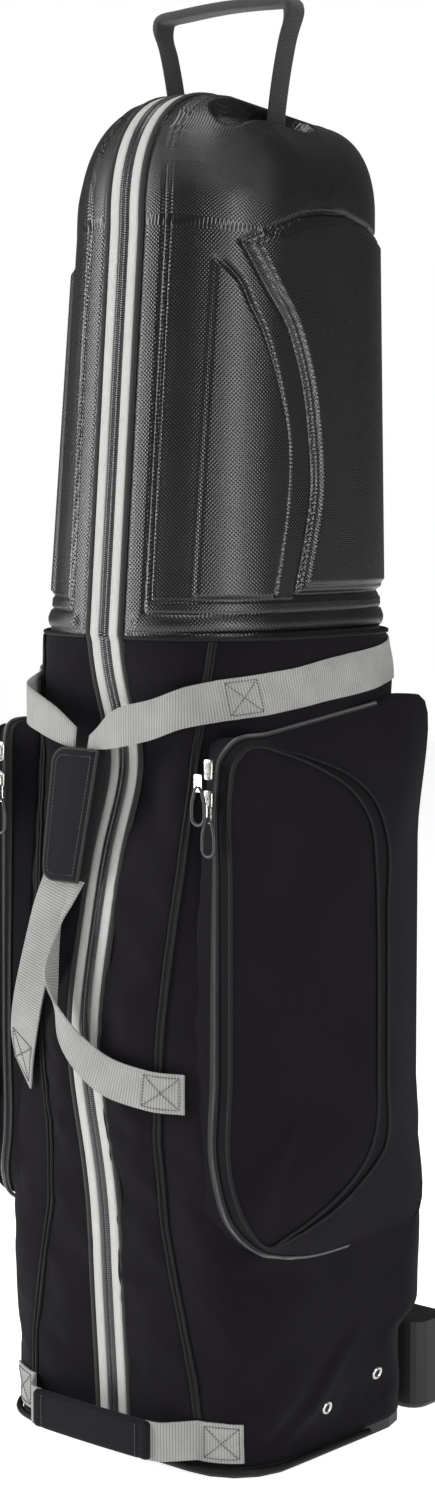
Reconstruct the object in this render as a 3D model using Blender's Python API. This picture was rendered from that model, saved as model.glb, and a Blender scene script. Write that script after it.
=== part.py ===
"""Hard-top golf travel case, standing upright.

Metres, +Z up. The origin is the middle of the flat base on the floor, the main zipper faces -Y,
the wheels are at +Y. The left half (-X) opens like a clamshell about an upright line behind the back.
"""
import math

import bmesh
import bpy
import numpy as np

# ---------------------------------------------------------------- driving dimensions
GAP = 0.0003                # clearance between pieces that touch
SEAM_Z = 0.775              # where the hard shell meets the fabric
CROWN_Z = 1.276             # highest line of the hard shell
BOOT_TOP = 0.1940           # the fixed lower fabric ends here, the opening halves start
SOFT_WALL = 0.005
SHELL_WALL = 0.003

BASE_HALF_WIDTH = 0.160
SEAM_HALF_WIDTH = 0.143
BASE_CORNER = 0.062
SEAM_CORNER = 0.116
BASE_FRONT = 0.148
MID_FRONT = 0.157
BASE_BACK = 0.126           # recessed at the heel, where the wheel housing sits
MID_BACK = 0.153
WAVE_FLAT = 0.035           # the front's wave is level across this half width
TOP_BACK = 0.157
HEEL_LOW = 0.092
HEEL_HIGH = 0.118

SHELL_LOW_HALF = 0.131
SHELL_TOP_HALF = 0.121
SHELL_TOP_FRONT = 0.129
SHELL_INSET = 0.105         # how far the moulded corners round inwards
BAND_HALF = 0.024           # flat band beside the zipper

PLATE_THICK = 0.010
PIPING_RADIUS = 0.0030
SEAM_PIPING_RADIUS = 0.0025

COIL_HALF = 0.0055
TAPE_OUTER = 0.0215
WALL_EDGE = 0.0070          # the walls stop this far from the zipper's middle
ZIP_BACK_END = 0.60
SLIDER_HALF = 0.007
SLIDER_X = 0.0055           # the parked slider stays on the fixed half's teeth

PULL_THICK = 0.0026

WHEEL_RADIUS = 0.030
WHEEL_WIDTH = 0.024
WHEEL_X = 0.098
WHEEL_Y = 0.165
AXLE_RADIUS = 0.004
HOUSING_BACK = 0.181
HOUSING_HALF = 0.152

WEBBING_WIDTH = 0.037
WEBBING_THICK = 0.0015
STRAP_LIFT = 0.0036         # sewn webbing stands this far off the body's smooth outline
WRAP_TOP = 0.672
WRAP_BOTTOM = 0.545
WRAP_HALF = 0.022
WRAP_DEPTH = 0.016
WRAP_LEAN = 0.177           # sideways run for each metre of height

HANDLE_Y = 0.014
HANDLE_FOOT = 0.060
HANDLE_REACH = 0.083
HANDLE_TOP = CROWN_Z + 0.082
HANDLE_WIDTH = 0.025
GRIP_THICK = 0.010

HINGE_Y = TOP_BACK + 0.011  # upright line that the left half turns about
POCKET_BACK_Y = 0.100
POCKET_BACK_X = 0.168
POCKET_WALL = 0.0025
POCKET_LIFT = 0.004         # the gusset's foot stands this far off the body's smooth outline

BLACK_PLASTIC = ((0.020, 0.020, 0.023), 0.38, 0.0)
BLACK_FABRIC = ((0.022, 0.020, 0.024), 0.88, 0.0)
BLACK_TRIM = ((0.012, 0.012, 0.014), 0.70, 0.0)
GREY_WEBBING = ((0.42, 0.42, 0.40), 0.80, 0.0)
SILVER_TAPE = ((0.55, 0.55, 0.53), 0.55, 0.0)
NICKEL = ((0.66, 0.65, 0.62), 0.28, 1.0)
RUBBER = ((0.018, 0.018, 0.020), 0.75, 0.0)

SIDES = (("right", 1.0), ("left", -1.0))


# ---------------------------------------------------------------- small helpers
def mix(a, b, t):
    return a + (b - a) * t


def clamp(t):
    return min(max(t, 0.0), 1.0)


def smooth(t):
    t = clamp(t)
    return t * t * (3.0 - 2.0 * t)


def bump(z, middle, spread):
    return math.exp(-0.5 * ((z - middle) / spread) ** 2)


def curve_through(points, t):
    """Smooth interpolation of (t, value) pairs, flat at neither end."""
    ts = [p[0] for p in points]
    vs = [p[1] for p in points]
    i = int(np.clip(np.searchsorted(ts, t) - 1, 0, len(ts) - 2))
    span = ts[i + 1] - ts[i]
    slope = [(vs[min(k + 1, len(vs) - 1)] - vs[max(k - 1, 0)]) /
             (ts[min(k + 1, len(ts) - 1)] - ts[max(k - 1, 0)]) for k in (i, i + 1)]
    u = clamp((t - ts[i]) / span)
    return ((2 * u**3 - 3 * u**2 + 1) * vs[i] + (u**3 - 2 * u**2 + u) * span * slope[0]
            + (3 * u**2 - 2 * u**3) * vs[i + 1] + (u**3 - u**2) * span * slope[1])


def unit(v):
    return v / np.linalg.norm(v)


def material(name, look):
    colour, roughness, metallic = look
    mat = bpy.data.materials.new(name)
    mat.use_nodes = True
    shader = mat.node_tree.nodes["Principled BSDF"]
    shader.inputs["Base Color"].default_value = (*colour, 1.0)
    shader.inputs["Roughness"].default_value = roughness
    shader.inputs["Metallic"].default_value = metallic
    return mat


def face_outwards(bm):
    bmesh.ops.recalc_face_normals(bm, faces=bm.faces)
    if bm.calc_volume(signed=True) < 0.0:
        bmesh.ops.reverse_faces(bm, faces=bm.faces)


def add_object(name, bm, look, smooth_angle=40.0):
    face_outwards(bm)
    mesh = bpy.data.meshes.new(name)
    bm.to_mesh(mesh)
    bm.free()
    mesh.shade_smooth()
    mesh.set_sharp_from_angle(angle=math.radians(smooth_angle))
    mesh.materials.append(material(name, look))
    obj = bpy.data.objects.new(name, mesh)
    bpy.context.scene.collection.objects.link(obj)
    return obj


def set_origin(obj, point):
    """Move the object's origin to a point on its joint's axis, leaving the shape where it is."""
    point = np.asarray(point, float)
    for vertex in obj.data.vertices:
        vertex.co = np.array(vertex.co) - point
    obj.location = point


def quads(bm, grid, closed_u=False):
    rows, cols = len(grid), len(grid[0])
    for i in range(rows if closed_u else rows - 1):
        for j in range(cols - 1):
            nxt = (i + 1) % rows
            corners = [grid[i][j], grid[nxt][j], grid[nxt][j + 1], grid[i][j + 1]]
            bm.faces.new(corners)


def thick_sheet(outer, inner, closed_u=False, rims=("v0", "v1")):
    """A closed solid between two grids of points; rims says which column ends are walled."""
    bm = bmesh.new()
    top = [[bm.verts.new(p) for p in row] for row in outer]
    low = [[bm.verts.new(p) for p in row] for row in inner]
    quads(bm, top, closed_u)
    quads(bm, low, closed_u)
    rows = len(top)
    for i in range(rows if closed_u else rows - 1):
        nxt = (i + 1) % rows
        if "v0" in rims:
            bm.faces.new([top[i][0], low[i][0], low[nxt][0], top[nxt][0]])
        if "v1" in rims:
            bm.faces.new([top[i][-1], top[nxt][-1], low[nxt][-1], low[i][-1]])
    if not closed_u:
        for i in (0, rows - 1):
            for j in range(len(top[0]) - 1):
                bm.faces.new([top[i][j], top[i][j + 1], low[i][j + 1], low[i][j]])
    bmesh.ops.remove_doubles(bm, verts=bm.verts, dist=1e-6)
    return bm


def loft(rings, capped=True):
    """A closed solid through rings of points, with fan caps."""
    bm = bmesh.new()
    rows = [[bm.verts.new(p) for p in ring] for ring in rings]
    count = len(rows[0])
    for a, b in zip(rows[:-1], rows[1:]):
        for i in range(count):
            j = (i + 1) % count
            bm.faces.new([a[i], a[j], b[j], b[i]])
    if capped:
        for row in (rows[0], rows[-1]):
            middle = bm.verts.new(sum((np.array(v.co) for v in row), np.zeros(3)) / count)
            for i in range(count):
                bm.faces.new([row[i], row[(i + 1) % count], middle])
    else:
        for i in range(count):
            j = (i + 1) % count
            bm.faces.new([rows[-1][i], rows[-1][j], rows[0][j], rows[0][i]])
    return bm


def rounded_rect(half_x, half_y, radius, segments=4):
    """Corner-rounded outline, anticlockwise, as a list of (x, y)."""
    points = []
    for cx, cy, start in ((1, 1, 0), (-1, 1, 90), (-1, -1, 180), (1, -1, 270)):
        for k in range(segments + 1):
            angle = math.radians(start + 90.0 * k / segments)
            points.append((cx * (half_x - radius) + radius * math.cos(angle),
                           cy * (half_y - radius) + radius * math.sin(angle)))
    return points


def ribbon(points, widths, thick):
    """A strap through points; each width vector spans it from edge to edge."""
    points = [np.array(p, float) for p in points]
    rings = []
    for k, point in enumerate(points):
        along = unit(points[min(k + 1, len(points) - 1)] - points[max(k - 1, 0)])
        across = np.array(widths[k], float)
        normal = unit(np.cross(along, across)) * thick / 2.0
        half = across / 2.0
        rings.append([point - half - normal, point + half - normal,
                      point + half + normal, point - half + normal])
    return loft(rings)


def tube(points, radius, sides=6, closed=False):
    points = [np.array(p, float) for p in points]
    count = len(points)
    rings = []
    for k, point in enumerate(points):
        if closed:
            along = unit(points[(k + 1) % count] - points[k - 1])
        else:
            along = unit(points[min(k + 1, count - 1)] - points[max(k - 1, 0)])
        guide = np.array([0.0, 0.0, 1.0]) if abs(along[2]) < 0.7 else np.array([0.0, 1.0, 0.0])
        side = unit(np.cross(along, guide))
        up = np.cross(side, along)
        rings.append([point + radius * (math.cos(a) * side + math.sin(a) * up)
                      for a in np.linspace(0.0, 2.0 * math.pi, sides, endpoint=False)])
    return loft(rings, capped=not closed)


def turned(profile, centre, segments=24):
    """A ring turned about the X axis from (x, radius) pairs that form a closed outline."""
    rings = []
    for k in range(segments):
        angle = 2.0 * math.pi * k / segments
        rings.append([np.array([x, r * math.cos(angle), r * math.sin(angle)]) + centre
                      for x, r in profile])
    return loft(rings, capped=False)


def block(low, high, bevel=0.0):
    bm = bmesh.new()
    bmesh.ops.create_cube(bm, size=1.0)
    low, high = np.array(low, float), np.array(high, float)
    for vertex in bm.verts:
        vertex.co = (low + high) / 2.0 + np.array(vertex.co) * (high - low)
    if bevel:
        bmesh.ops.bevel(bm, geom=bm.edges[:], offset=bevel, segments=1, affect="EDGES")
    return bm


# ---------------------------------------------------------------- the fabric body's section
def taper(z):
    return clamp((z - 0.25) / (SEAM_Z - 0.25))


def half_width(z):
    return mix(BASE_HALF_WIDTH, SEAM_HALF_WIDTH, taper(z) ** 2)


def corner_radius(z):
    return mix(BASE_CORNER, SEAM_CORNER, taper(z) ** 1.5)


def front_wave(z):
    """The front caves in under the carry handle and bellies out below it."""
    return 0.0157 * bump(z, 0.66, 0.055) - 0.0165 * bump(z, 0.40, 0.085)


def zip_shift(z):
    """Sideways wander of the main zipper down the soft part."""
    if z >= SEAM_Z:
        return 0.0
    return 0.0112 * bump(z, 0.66, 0.045) - 0.0118 * bump(z, 0.40, 0.085)


def front_y(z):
    if z < 0.2:
        return -mix(BASE_FRONT, MID_FRONT, smooth(z / 0.2))
    return -mix(MID_FRONT, 0.159, smooth((z - 0.2) / (SEAM_Z - 0.2)))


def back_y(z):
    low = mix(BASE_BACK, MID_BACK, smooth((z - HEEL_LOW) / (HEEL_HIGH - HEEL_LOW)))
    return low + (TOP_BACK - MID_BACK) * smooth((z - 0.2) / 0.3)


class Section:
    """Half of the body's outline at one height, from the front middle round to the back middle."""

    def __init__(self, z):
        a, r = half_width(z), corner_radius(z)
        yf, yb = front_y(z), back_y(z)
        points = [((a - r) * k / 6.0, yf) for k in range(6)]
        for k in range(13):
            angle = math.radians(90.0 * k / 12)
            points.append((a - r + r * math.sin(angle), yf + r - r * math.cos(angle)))
        points += [(a, mix(yf + r, yb - r, k / 6.0)) for k in range(1, 6)]
        for k in range(13):
            angle = math.radians(90.0 * k / 12)
            points.append((a - r + r * math.cos(angle), yb - r + r * math.sin(angle)))
        points += [((a - r) * (1.0 - k / 6.0), yb) for k in range(1, 7)]
        line = np.array(points)
        fall = np.clip((line[:, 0] - WAVE_FLAT) / (0.9 * a - WAVE_FLAT), 0.0, 1.0)
        fade = np.cos(0.5 * math.pi * fall) ** 2
        line[:, 1] += np.where(line[:, 1] < 0.0, front_wave(z) * fade, 0.0)
        step = np.hypot(*np.diff(line, axis=0).T)
        self.s = np.concatenate([[0.0], np.cumsum(step)])
        self.line = line
        self.length = self.s[-1]
        self.z = z
        slope = np.gradient(line, self.s, axis=0)
        slope /= np.linalg.norm(slope, axis=1)[:, None]
        self.normal = np.stack([slope[:, 1], -slope[:, 0]], axis=1)
        self.normal[0] = (0.0, -1.0)
        self.normal[-1] = (0.0, 1.0)

    def point(self, s, off=0.0, side=1.0):
        x, y = (np.interp(s, self.s, self.line[:, k]) for k in (0, 1))
        nx, ny = (np.interp(s, self.s, self.normal[:, k]) for k in (0, 1))
        size = math.hypot(nx, ny)
        return np.array([side * (x + off * nx / size), y + off * ny / size, self.z])

    def at_x(self, x):
        """Arc length of the front stretch's point at a given x."""
        half = self.line[:, 0].argmax()
        return float(np.interp(x, self.line[: half + 1, 0], self.s[: half + 1]))

    def nearest(self, x, y):
        dense = np.linspace(0.0, self.length, 400)
        xs = np.interp(dense, self.s, self.line[:, 0])
        ys = np.interp(dense, self.s, self.line[:, 1])
        return dense[np.argmin((xs - x) ** 2 + (ys - y) ** 2)]


# front-to-side seam, as (height, arc length from the front middle)
SIDE_SEAM = ((0.0, 0.110), (0.09, 0.103), (0.16, 0.089), (0.23, 0.074), (0.31, 0.070),
             (0.44, 0.080), (0.56, 0.091), (0.67, 0.098), (SEAM_Z, 0.114))
BACK_SEAM = 0.100           # back-to-side seam, arc length from the back middle


def side_seam(z):
    return curve_through(SIDE_SEAM, z)


def zip_edge(z, side):
    return WALL_EDGE + side * zip_shift(z)


def wall_panel(name, heights, start, end, side, columns):
    """One sewn panel between two lines of arc length, thick inwards."""
    outer, inner = [], []
    for z in heights:
        section = Section(z)
        stations = np.linspace(start(section), end(section), columns)
        outer.append([section.point(s, 0.0, side) for s in stations])
        inner.append([section.point(s, -SOFT_WALL, side) for s in stations])
    return add_object(name, thick_sheet(outer, inner), BLACK_FABRIC)


def wall_heights():
    return list(np.linspace(BOOT_TOP + 2 * GAP, SEAM_Z - GAP, 15))


def back_edge(z, half_gap):
    """The back seam is closed up to the zipper's end, and open round its teeth above that."""
    return WALL_EDGE if z > ZIP_BACK_END - 0.03 else half_gap


def fabric_walls():
    heights = wall_heights()
    half_gap = GAP / 2.0 + 0.0001
    for label, side in SIDES:
        wall_panel(f"front_panel_{label}", heights,
                   lambda c, side=side: zip_edge(c.z, side),
                   lambda c: side_seam(c.z) - half_gap, side, 6)
        wall_panel(f"side_panel_{label}", heights,
                   lambda c: side_seam(c.z) + half_gap,
                   lambda c: c.length - BACK_SEAM - half_gap, side, 14)
        wall_panel(f"back_panel_{label}", heights,
                   lambda c: c.length - BACK_SEAM + half_gap,
                   lambda c: c.length - back_edge(c.z, half_gap), side, 5)


def lower_body():
    """The fixed boot of fabric round the base, open only at the zipper."""
    heights = [PLATE_THICK + 2 * GAP, 0.05, HEEL_LOW, 0.093, 0.100, 0.107, HEEL_HIGH, 0.16, BOOT_TOP]
    outer, inner = [], []
    for z in heights:
        section = Section(z)
        right = np.linspace(zip_edge(z, 1.0), section.length, 22)
        left = np.linspace(section.length, zip_edge(z, -1.0), 22)[1:]
        outer.append([section.point(s, 0.0) for s in right]
                     + [section.point(s, 0.0, -1.0) for s in left])
        inner.append([section.point(s, -SOFT_WALL) for s in right]
                     + [section.point(s, -SOFT_WALL, -1.0) for s in left])
    add_object("lower_body", thick_sheet(outer, inner), BLACK_FABRIC)


# ---------------------------------------------------------------- base, heel and wheels
def base_outline(off, z):
    section = Section(0.0)
    stations = np.linspace(0.0, section.length, 24)
    right = [section.point(s, off) for s in stations]
    left = [section.point(s, off, -1.0) for s in stations[-2:0:-1]]
    ring = np.array(right + left)
    ring[:, 2] = z
    return ring


def base():
    add_object("base_plate", loft([base_outline(0.0, 0.0), base_outline(0.0, PLATE_THICK)]),
               BLACK_PLASTIC, 30.0)
    inset = -SOFT_WALL - 0.003
    low = PLATE_THICK + GAP
    add_object("base_pad", loft([base_outline(inset, low), base_outline(inset, low + 0.010)]),
               BLACK_TRIM, 30.0)
    section = Section(0.0)
    reach = section.at_x(half_width(0.0)) + 0.12
    stations = np.linspace(0.0, reach, 22)
    off = PIPING_RADIUS + 0.0010
    path = [section.point(s, off, -1.0) for s in stations[::-1]]
    path += [section.point(s, off) for s in stations[1:]]
    for point in path:
        point[2] = 0.0065
    add_object("base_piping", tube(path, PIPING_RADIUS), BLACK_TRIM)


def cutter(name, bm):
    face_outwards(bm)
    mesh = bpy.data.meshes.new(name)
    bm.to_mesh(mesh)
    bm.free()
    obj = bpy.data.objects.new(name, mesh)
    bpy.context.scene.collection.objects.link(obj)
    obj.hide_render = True
    obj.display_type = "WIRE"
    return obj


def cylinder_x(centre, radius, low, high, segments=24):
    angles = np.linspace(0.0, 2.0 * math.pi, segments, endpoint=False)
    return loft([[np.array([x, centre[1] + radius * math.cos(a), centre[2] + radius * math.sin(a)])
                  for a in angles] for x in (low, high)])


def heel():
    """Moulded housing across the heel, with a well for each wheel."""
    front = BASE_BACK + 0.0006
    depth = HOUSING_BACK - front
    middle = (front + HOUSING_BACK) / 2.0
    rings = []
    for z, shrink in ((0.0, 0.003), (0.004, 0.0), (HEEL_LOW - 0.004, 0.0)):
        rings.append([np.array([x, y + middle, z]) for x, y in
                      rounded_rect(HOUSING_HALF - shrink, depth / 2.0 - shrink * 0.5, 0.016)])
    housing = add_object("wheel_housing", loft(rings), BLACK_PLASTIC, 30.0)
    well = WHEEL_WIDTH / 2.0 + 0.003
    for label, side in SIDES:
        x = side * WHEEL_X
        low, high = x - well, x + well
        top = WHEEL_RADIUS * 2.0 + 0.006
        wells = cutter(f"well_cutter_{label}",
                       block((low, WHEEL_Y - WHEEL_RADIUS - 0.004, -0.01), (high, 0.25, top)))
        holes = cutter(f"axle_cutter_{label}",
                       cylinder_x((x, WHEEL_Y, WHEEL_RADIUS), AXLE_RADIUS + GAP,
                                  x - well - 0.010, x + well + 0.010, 16))
        for tool in (wells, holes):
            cut = housing.modifiers.new(tool.name, "BOOLEAN")
            cut.operation = "DIFFERENCE"
            cut.object = tool
        centre = np.array([x, WHEEL_Y, WHEEL_RADIUS])
        half = WHEEL_WIDTH / 2.0
        hub_r = WHEEL_RADIUS * 0.62
        bore = AXLE_RADIUS + GAP
        hub = [(-half * 0.8, bore), (half * 0.8, bore), (half * 0.8, hub_r), (-half * 0.8, hub_r)]
        tyre_r = hub_r + GAP
        tyre = [(-half, tyre_r), (half, tyre_r), (half, WHEEL_RADIUS * 0.9),
                (half * 0.7, WHEEL_RADIUS), (-half * 0.7, WHEEL_RADIUS), (-half, WHEEL_RADIUS * 0.9)]
        for kind, profile, look in (("hub", hub, BLACK_PLASTIC), ("tyre", tyre, RUBBER)):
            piece = add_object(f"wheel_{kind}_{label}", turned(profile, centre, 32), look)
            set_origin(piece, centre)
        axle_end = well + 0.009
        add_object(f"wheel_axle_{label}",
                   cylinder_x(centre, AXLE_RADIUS, x - axle_end, x + axle_end, 16), NICKEL)


def eyelets():
    for name, y, z in (("front", -0.030, 0.047), ("rear", 0.050, 0.060)):
        for label, side in SIDES:
            x = side * (half_width(z) + GAP)
            profile = [(0.0, 0.0032), (side * 0.002, 0.0038), (side * 0.002, 0.0062), (0.0, 0.0072)]
            add_object(f"eyelet_{name}_{label}",
                       turned(profile, np.array([x, y, z]), 16), NICKEL)


# ---------------------------------------------------------------- hard shell
def superellipse(angle, power=2.4):
    c, s = math.cos(angle), math.sin(angle)
    return abs(c) ** (2.0 / power), abs(s) ** (2.0 / power)


FRONT_SPRING = CROWN_Z - 0.126        # the crown's front curve starts here
BACK_SPRING = CROWN_Z - 0.086
RIDGE_FRONT_Y = -0.030
RIDGE_BACK_Y = 0.095
RIDGE_SLOPE = 0.117
CORNER_STEPS = 5
WALL_STEPS = 6


def shell_front_y(z):
    return -mix(0.159, SHELL_TOP_FRONT, (z - SEAM_Z) / (FRONT_SPRING - SEAM_Z))


def shell_half(z):
    return mix(SHELL_LOW_HALF, SHELL_TOP_HALF, clamp((z - SEAM_Z) / (FRONT_SPRING - SEAM_Z)))


def crown_curve():
    """Side view of the zipper line on the shell: up the front, over the ridge, down the back."""
    low = SEAM_Z + GAP
    points = [(shell_front_y(z), z) for z in np.linspace(low, FRONT_SPRING, WALL_STEPS + 1)]
    spring_y = shell_front_y(FRONT_SPRING)
    for k in range(1, CORNER_STEPS + 1):
        c, s = superellipse(math.radians(90.0 * k / CORNER_STEPS))
        points.append((mix(RIDGE_FRONT_Y, spring_y, c), mix(FRONT_SPRING, CROWN_Z, s)))
    back_ridge_z = CROWN_Z - RIDGE_SLOPE * (RIDGE_BACK_Y - RIDGE_FRONT_Y)
    points.append((mix(RIDGE_FRONT_Y, RIDGE_BACK_Y, 0.5), mix(CROWN_Z, back_ridge_z, 0.5)))
    for k in range(CORNER_STEPS, 0, -1):
        c, s = superellipse(math.radians(90.0 * k / CORNER_STEPS))
        points.append((mix(RIDGE_BACK_Y, TOP_BACK, c), mix(BACK_SPRING, back_ridge_z, s)))
    points += [(TOP_BACK, z) for z in np.linspace(BACK_SPRING, low, WALL_STEPS + 1)]
    return np.array(points)


def face_curve():
    """The same line after it has rounded onto the flat outer face of a half."""
    low, top = SEAM_Z + GAP, CROWN_Z - SHELL_INSET
    radius = 0.035
    front = [(shell_front_y(z) + SHELL_INSET, z) for z in np.linspace(low, top - radius, WALL_STEPS + 1)]
    start = front[-1][0]
    for k in range(1, CORNER_STEPS + 1):
        angle = math.radians(90.0 * k / CORNER_STEPS)
        front.append((start + radius * (1.0 - math.cos(angle)), top - radius + radius * math.sin(angle)))
    edge = TOP_BACK - SHELL_INSET
    back = [(edge, z) for z in np.linspace(low, top - radius, WALL_STEPS + 1)]
    for k in range(1, CORNER_STEPS + 1):
        angle = math.radians(90.0 * k / CORNER_STEPS)
        back.append((edge - radius * (1.0 - math.cos(angle)), top - radius + radius * math.sin(angle)))
    middle = ((front[-1][0] + back[-1][0]) / 2.0, top)
    return np.array(front + [middle] + back[::-1])


def shell_grid(side):
    outer_line, face_line = crown_curve(), face_curve()
    count = len(outer_line)
    turns = [math.radians(a) for a in (15, 30, 45, 60, 75, 90)]
    grid = np.zeros((count, len(turns) + 3, 3))
    for k in range(count):
        y0, z0 = outer_line[k]
        y1, z1 = face_line[k]
        grid[k, 0] = (side * WALL_EDGE, y0, z0)
        grid[k, 1] = (side * BAND_HALF, y0, z0)
        for m, turn in enumerate(turns):
            t = 1.0 - math.cos(turn)
            y, z = mix(y0, y1, t), mix(z0, z1, t)
            grid[k, m + 2] = (side * mix(BAND_HALF, shell_half(z), math.sin(turn)), y, z)
        mate = count - 1 - k
        y = (face_line[k][0] + face_line[mate][0]) / 2.0
        z = (face_line[k][1] + face_line[mate][1]) / 2.0 - 0.25 * max(0.0, face_line[k][1] - 1.10)
        grid[k, -1] = (side * (shell_half(z) + 0.0015), y, z)
    return grid


def grid_normals(grid, side):
    along = np.gradient(grid, axis=0)
    across = np.gradient(grid, axis=1)
    normal = np.cross(along, across) * side
    normal[:, 0, 0] = 0.0
    normal[0, :, 2] = 0.0
    normal[-1, :, 2] = 0.0
    normal[:, -1] = (side, 0.0, 0.0)
    normal /= np.linalg.norm(normal, axis=2)[..., None]
    outward = np.sign(np.sum(normal * (grid - np.array([0.0, 0.0, 1.0])), axis=2))
    return normal * np.where(outward == 0.0, 1.0, outward)[..., None]


def hard_shell():
    for label, side in SIDES:
        outer = shell_grid(side)
        inner = outer - SHELL_WALL * grid_normals(outer, side)
        inner[:, 0, 0] = outer[:, 0, 0]
        add_object(f"shell_{label}", thick_sheet(outer, inner, rims=("v0",)), BLACK_PLASTIC)


# ---------------------------------------------------------------- main zipper
def zip_points():
    """Middle line of the main zipper with its outward direction, from the front to its back end."""
    points = [(zip_shift(z), front_y(z) + front_wave(z), z) for z in wall_heights()[:-1]]
    points += [(0.0, y, z) for y, z in crown_curve()]
    points += [(0.0, TOP_BACK, z) for z in np.linspace(SEAM_Z - 0.03, ZIP_BACK_END, 4)]
    points = np.array(points)
    along = np.gradient(points[:, 1:], axis=0)
    along /= np.linalg.norm(along, axis=1)[:, None]
    normals = np.stack([np.zeros(len(points)), -along[:, 1], along[:, 0]], axis=1)
    return points, normals


def strip(points, normals, edges, heights):
    rings = []
    for point, normal in zip(points, normals):
        ring = []
        for edge, height in ((edges[0], heights[0]), (edges[1], heights[0]),
                             (edges[1], heights[1]), (edges[0], heights[1])):
            ring.append(point + np.array([edge, 0.0, 0.0]) + normal * height)
        rings.append(ring)
    return loft(rings)


def zipper():
    points, normals = zip_points()
    for label, side in SIDES:
        tape = sorted((side * (COIL_HALF + GAP), side * TAPE_OUTER))
        coil = sorted((side * GAP / 1.5, side * COIL_HALF))
        add_object(f"zip_tape_{label}", strip(points, normals, tape, (GAP, 0.0015)), SILVER_TAPE)
        add_object(f"zip_coil_{label}", strip(points, normals, coil, (-0.0010, 0.0025)), BLACK_TRIM)
    heights = [z for z in np.linspace(PLATE_THICK + 2 * GAP, BOOT_TOP, 7)]
    low = np.array([(zip_shift(z), front_y(z) + front_wave(z), z) for z in heights])
    out = np.tile((0.0, -1.0, 0.0), (len(low), 1))
    add_object("zip_lower", strip(low, out, (-TAPE_OUTER, TAPE_OUTER), (GAP, 0.0025)), SILVER_TAPE)

    top = ZIP_BACK_END + 0.028
    low_y = TOP_BACK + 0.0028
    slider = add_object("main_slider", block((SLIDER_X - SLIDER_HALF, low_y, top - 0.022),
                                             (SLIDER_X + SLIDER_HALF, low_y + 0.0055, top), 0.0015), NICKEL)
    set_origin(slider, (SLIDER_X, low_y, top))
    pull_y = low_y + 0.0055 + GAP
    pull = add_object("main_pull", block((SLIDER_X - 0.004, pull_y, top - 0.045),
                                         (SLIDER_X + 0.004, pull_y + PULL_THICK, top - 0.004),
                                         0.0008), NICKEL)
    set_origin(pull, (SLIDER_X, pull_y + PULL_THICK, top - 0.004))


# ---------------------------------------------------------------- side seams
def seam_piping():
    for label, side in SIDES:
        path = []
        for z in np.linspace(BOOT_TOP + 0.004, SEAM_Z - 0.004, 18):
            path.append(Section(z).point(side_seam(z), SEAM_PIPING_RADIUS + GAP, side))
        add_object(f"seam_piping_{label}", tube(path, SEAM_PIPING_RADIUS, 5), BLACK_TRIM)


# ---------------------------------------------------------------- side pockets
FRONT_RUN_Y = -0.156
TOP_RUN_START = np.array([0.146, -0.145, 0.680])
TOP_RUN_END = np.array([POCKET_BACK_X, POCKET_BACK_Y, 0.7147])
# how far the face stands out at its front edge, right and left
LIP = {"right": 0.014, "left": 0.007}
FACE_X = {"right": 0.193, "left": 0.188}


def pocket_rim():
    """Closed line where the pocket's zipper runs, starting low at the back, going forward and up."""
    x = POCKET_BACK_X
    bottom = [(x, POCKET_BACK_Y, 0.205), (x, 0.050, 0.2015), (x, 0.0, 0.200),
              (x - 0.001, -0.070, 0.203), (x - 0.003, -0.097, 0.2085),
              (x - 0.006, -0.120, 0.216), (0.150, -0.148, 0.245)]
    front = [(0.139, FRONT_RUN_Y, z) for z in (0.29, 0.38, 0.47, 0.56, 0.645)]
    corner = [(0.141, -0.1535, 0.668)]
    top = [tuple(mix(TOP_RUN_START, TOP_RUN_END, t)) for t in (0.0, 0.18, 0.36, 0.54, 0.77, 1.0)]
    back = [(POCKET_BACK_X, POCKET_BACK_Y, z) for z in (0.58, 0.45, 0.32)]
    return np.array(bottom + front + corner + top + back)


def pocket_face(label):
    """Outline of the raised face, point for point with the rim."""
    lip, x = LIP[label], FACE_X[label]
    bottom = [(x, 0.004, 0.315), (x - 0.001, -0.002, 0.297), (x - 0.002, -0.012, 0.283),
              (x - 0.013, -0.075, 0.240), (x - 0.018, -0.101, 0.2295),
              (x - 0.024, -0.122, 0.221), (0.152 + lip, -0.150, 0.246)]
    front = [(0.139 + lip, FRONT_RUN_Y - 0.002, z) for z in (0.29, 0.38, 0.47, 0.56, 0.645)]
    corner = [(0.141 + lip, -0.1535, 0.6675)]
    top = [(0.146 + lip, -0.144, 0.6790), (x - 0.025, -0.100, 0.672), (x - 0.014, -0.060, 0.655),
           (x - 0.005, -0.030, 0.636), (x, -0.006, 0.604), (x, 0.002, 0.560)]
    back = [(x, 0.005, 0.50), (x, 0.006, 0.44), (x, 0.006, 0.37)]
    return np.array(bottom + front + corner + top + back)


def mirrored(points, side):
    points = np.array(points, float)
    points[..., 0] *= side
    return points


def outline_normals(rim):
    """Directions in the Y-Z plane that point away from the pocket's middle."""
    along = np.roll(rim, -1, axis=0) - np.roll(rim, 1, axis=0)
    normal = np.stack([np.zeros(len(rim)), -along[:, 2], along[:, 1]], axis=1)
    normal /= np.linalg.norm(normal, axis=1)[:, None]
    middle = rim.mean(axis=0)
    facing = np.sum(normal * (rim - middle), axis=1)
    return normal * np.sign(facing)[:, None]


def pocket_root(rim):
    """Where the gusset meets the bag: the front run lands further forward than the nearest wall."""
    root = []
    for x, y, z in rim:
        section = Section(z)
        s = section.nearest(x, y)
        front = clamp((-0.10 - y) / 0.05)
        s = mix(s, section.at_x(0.107), smooth(front))
        root.append(section.point(s, POCKET_LIFT))
    return np.array(root)


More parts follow.
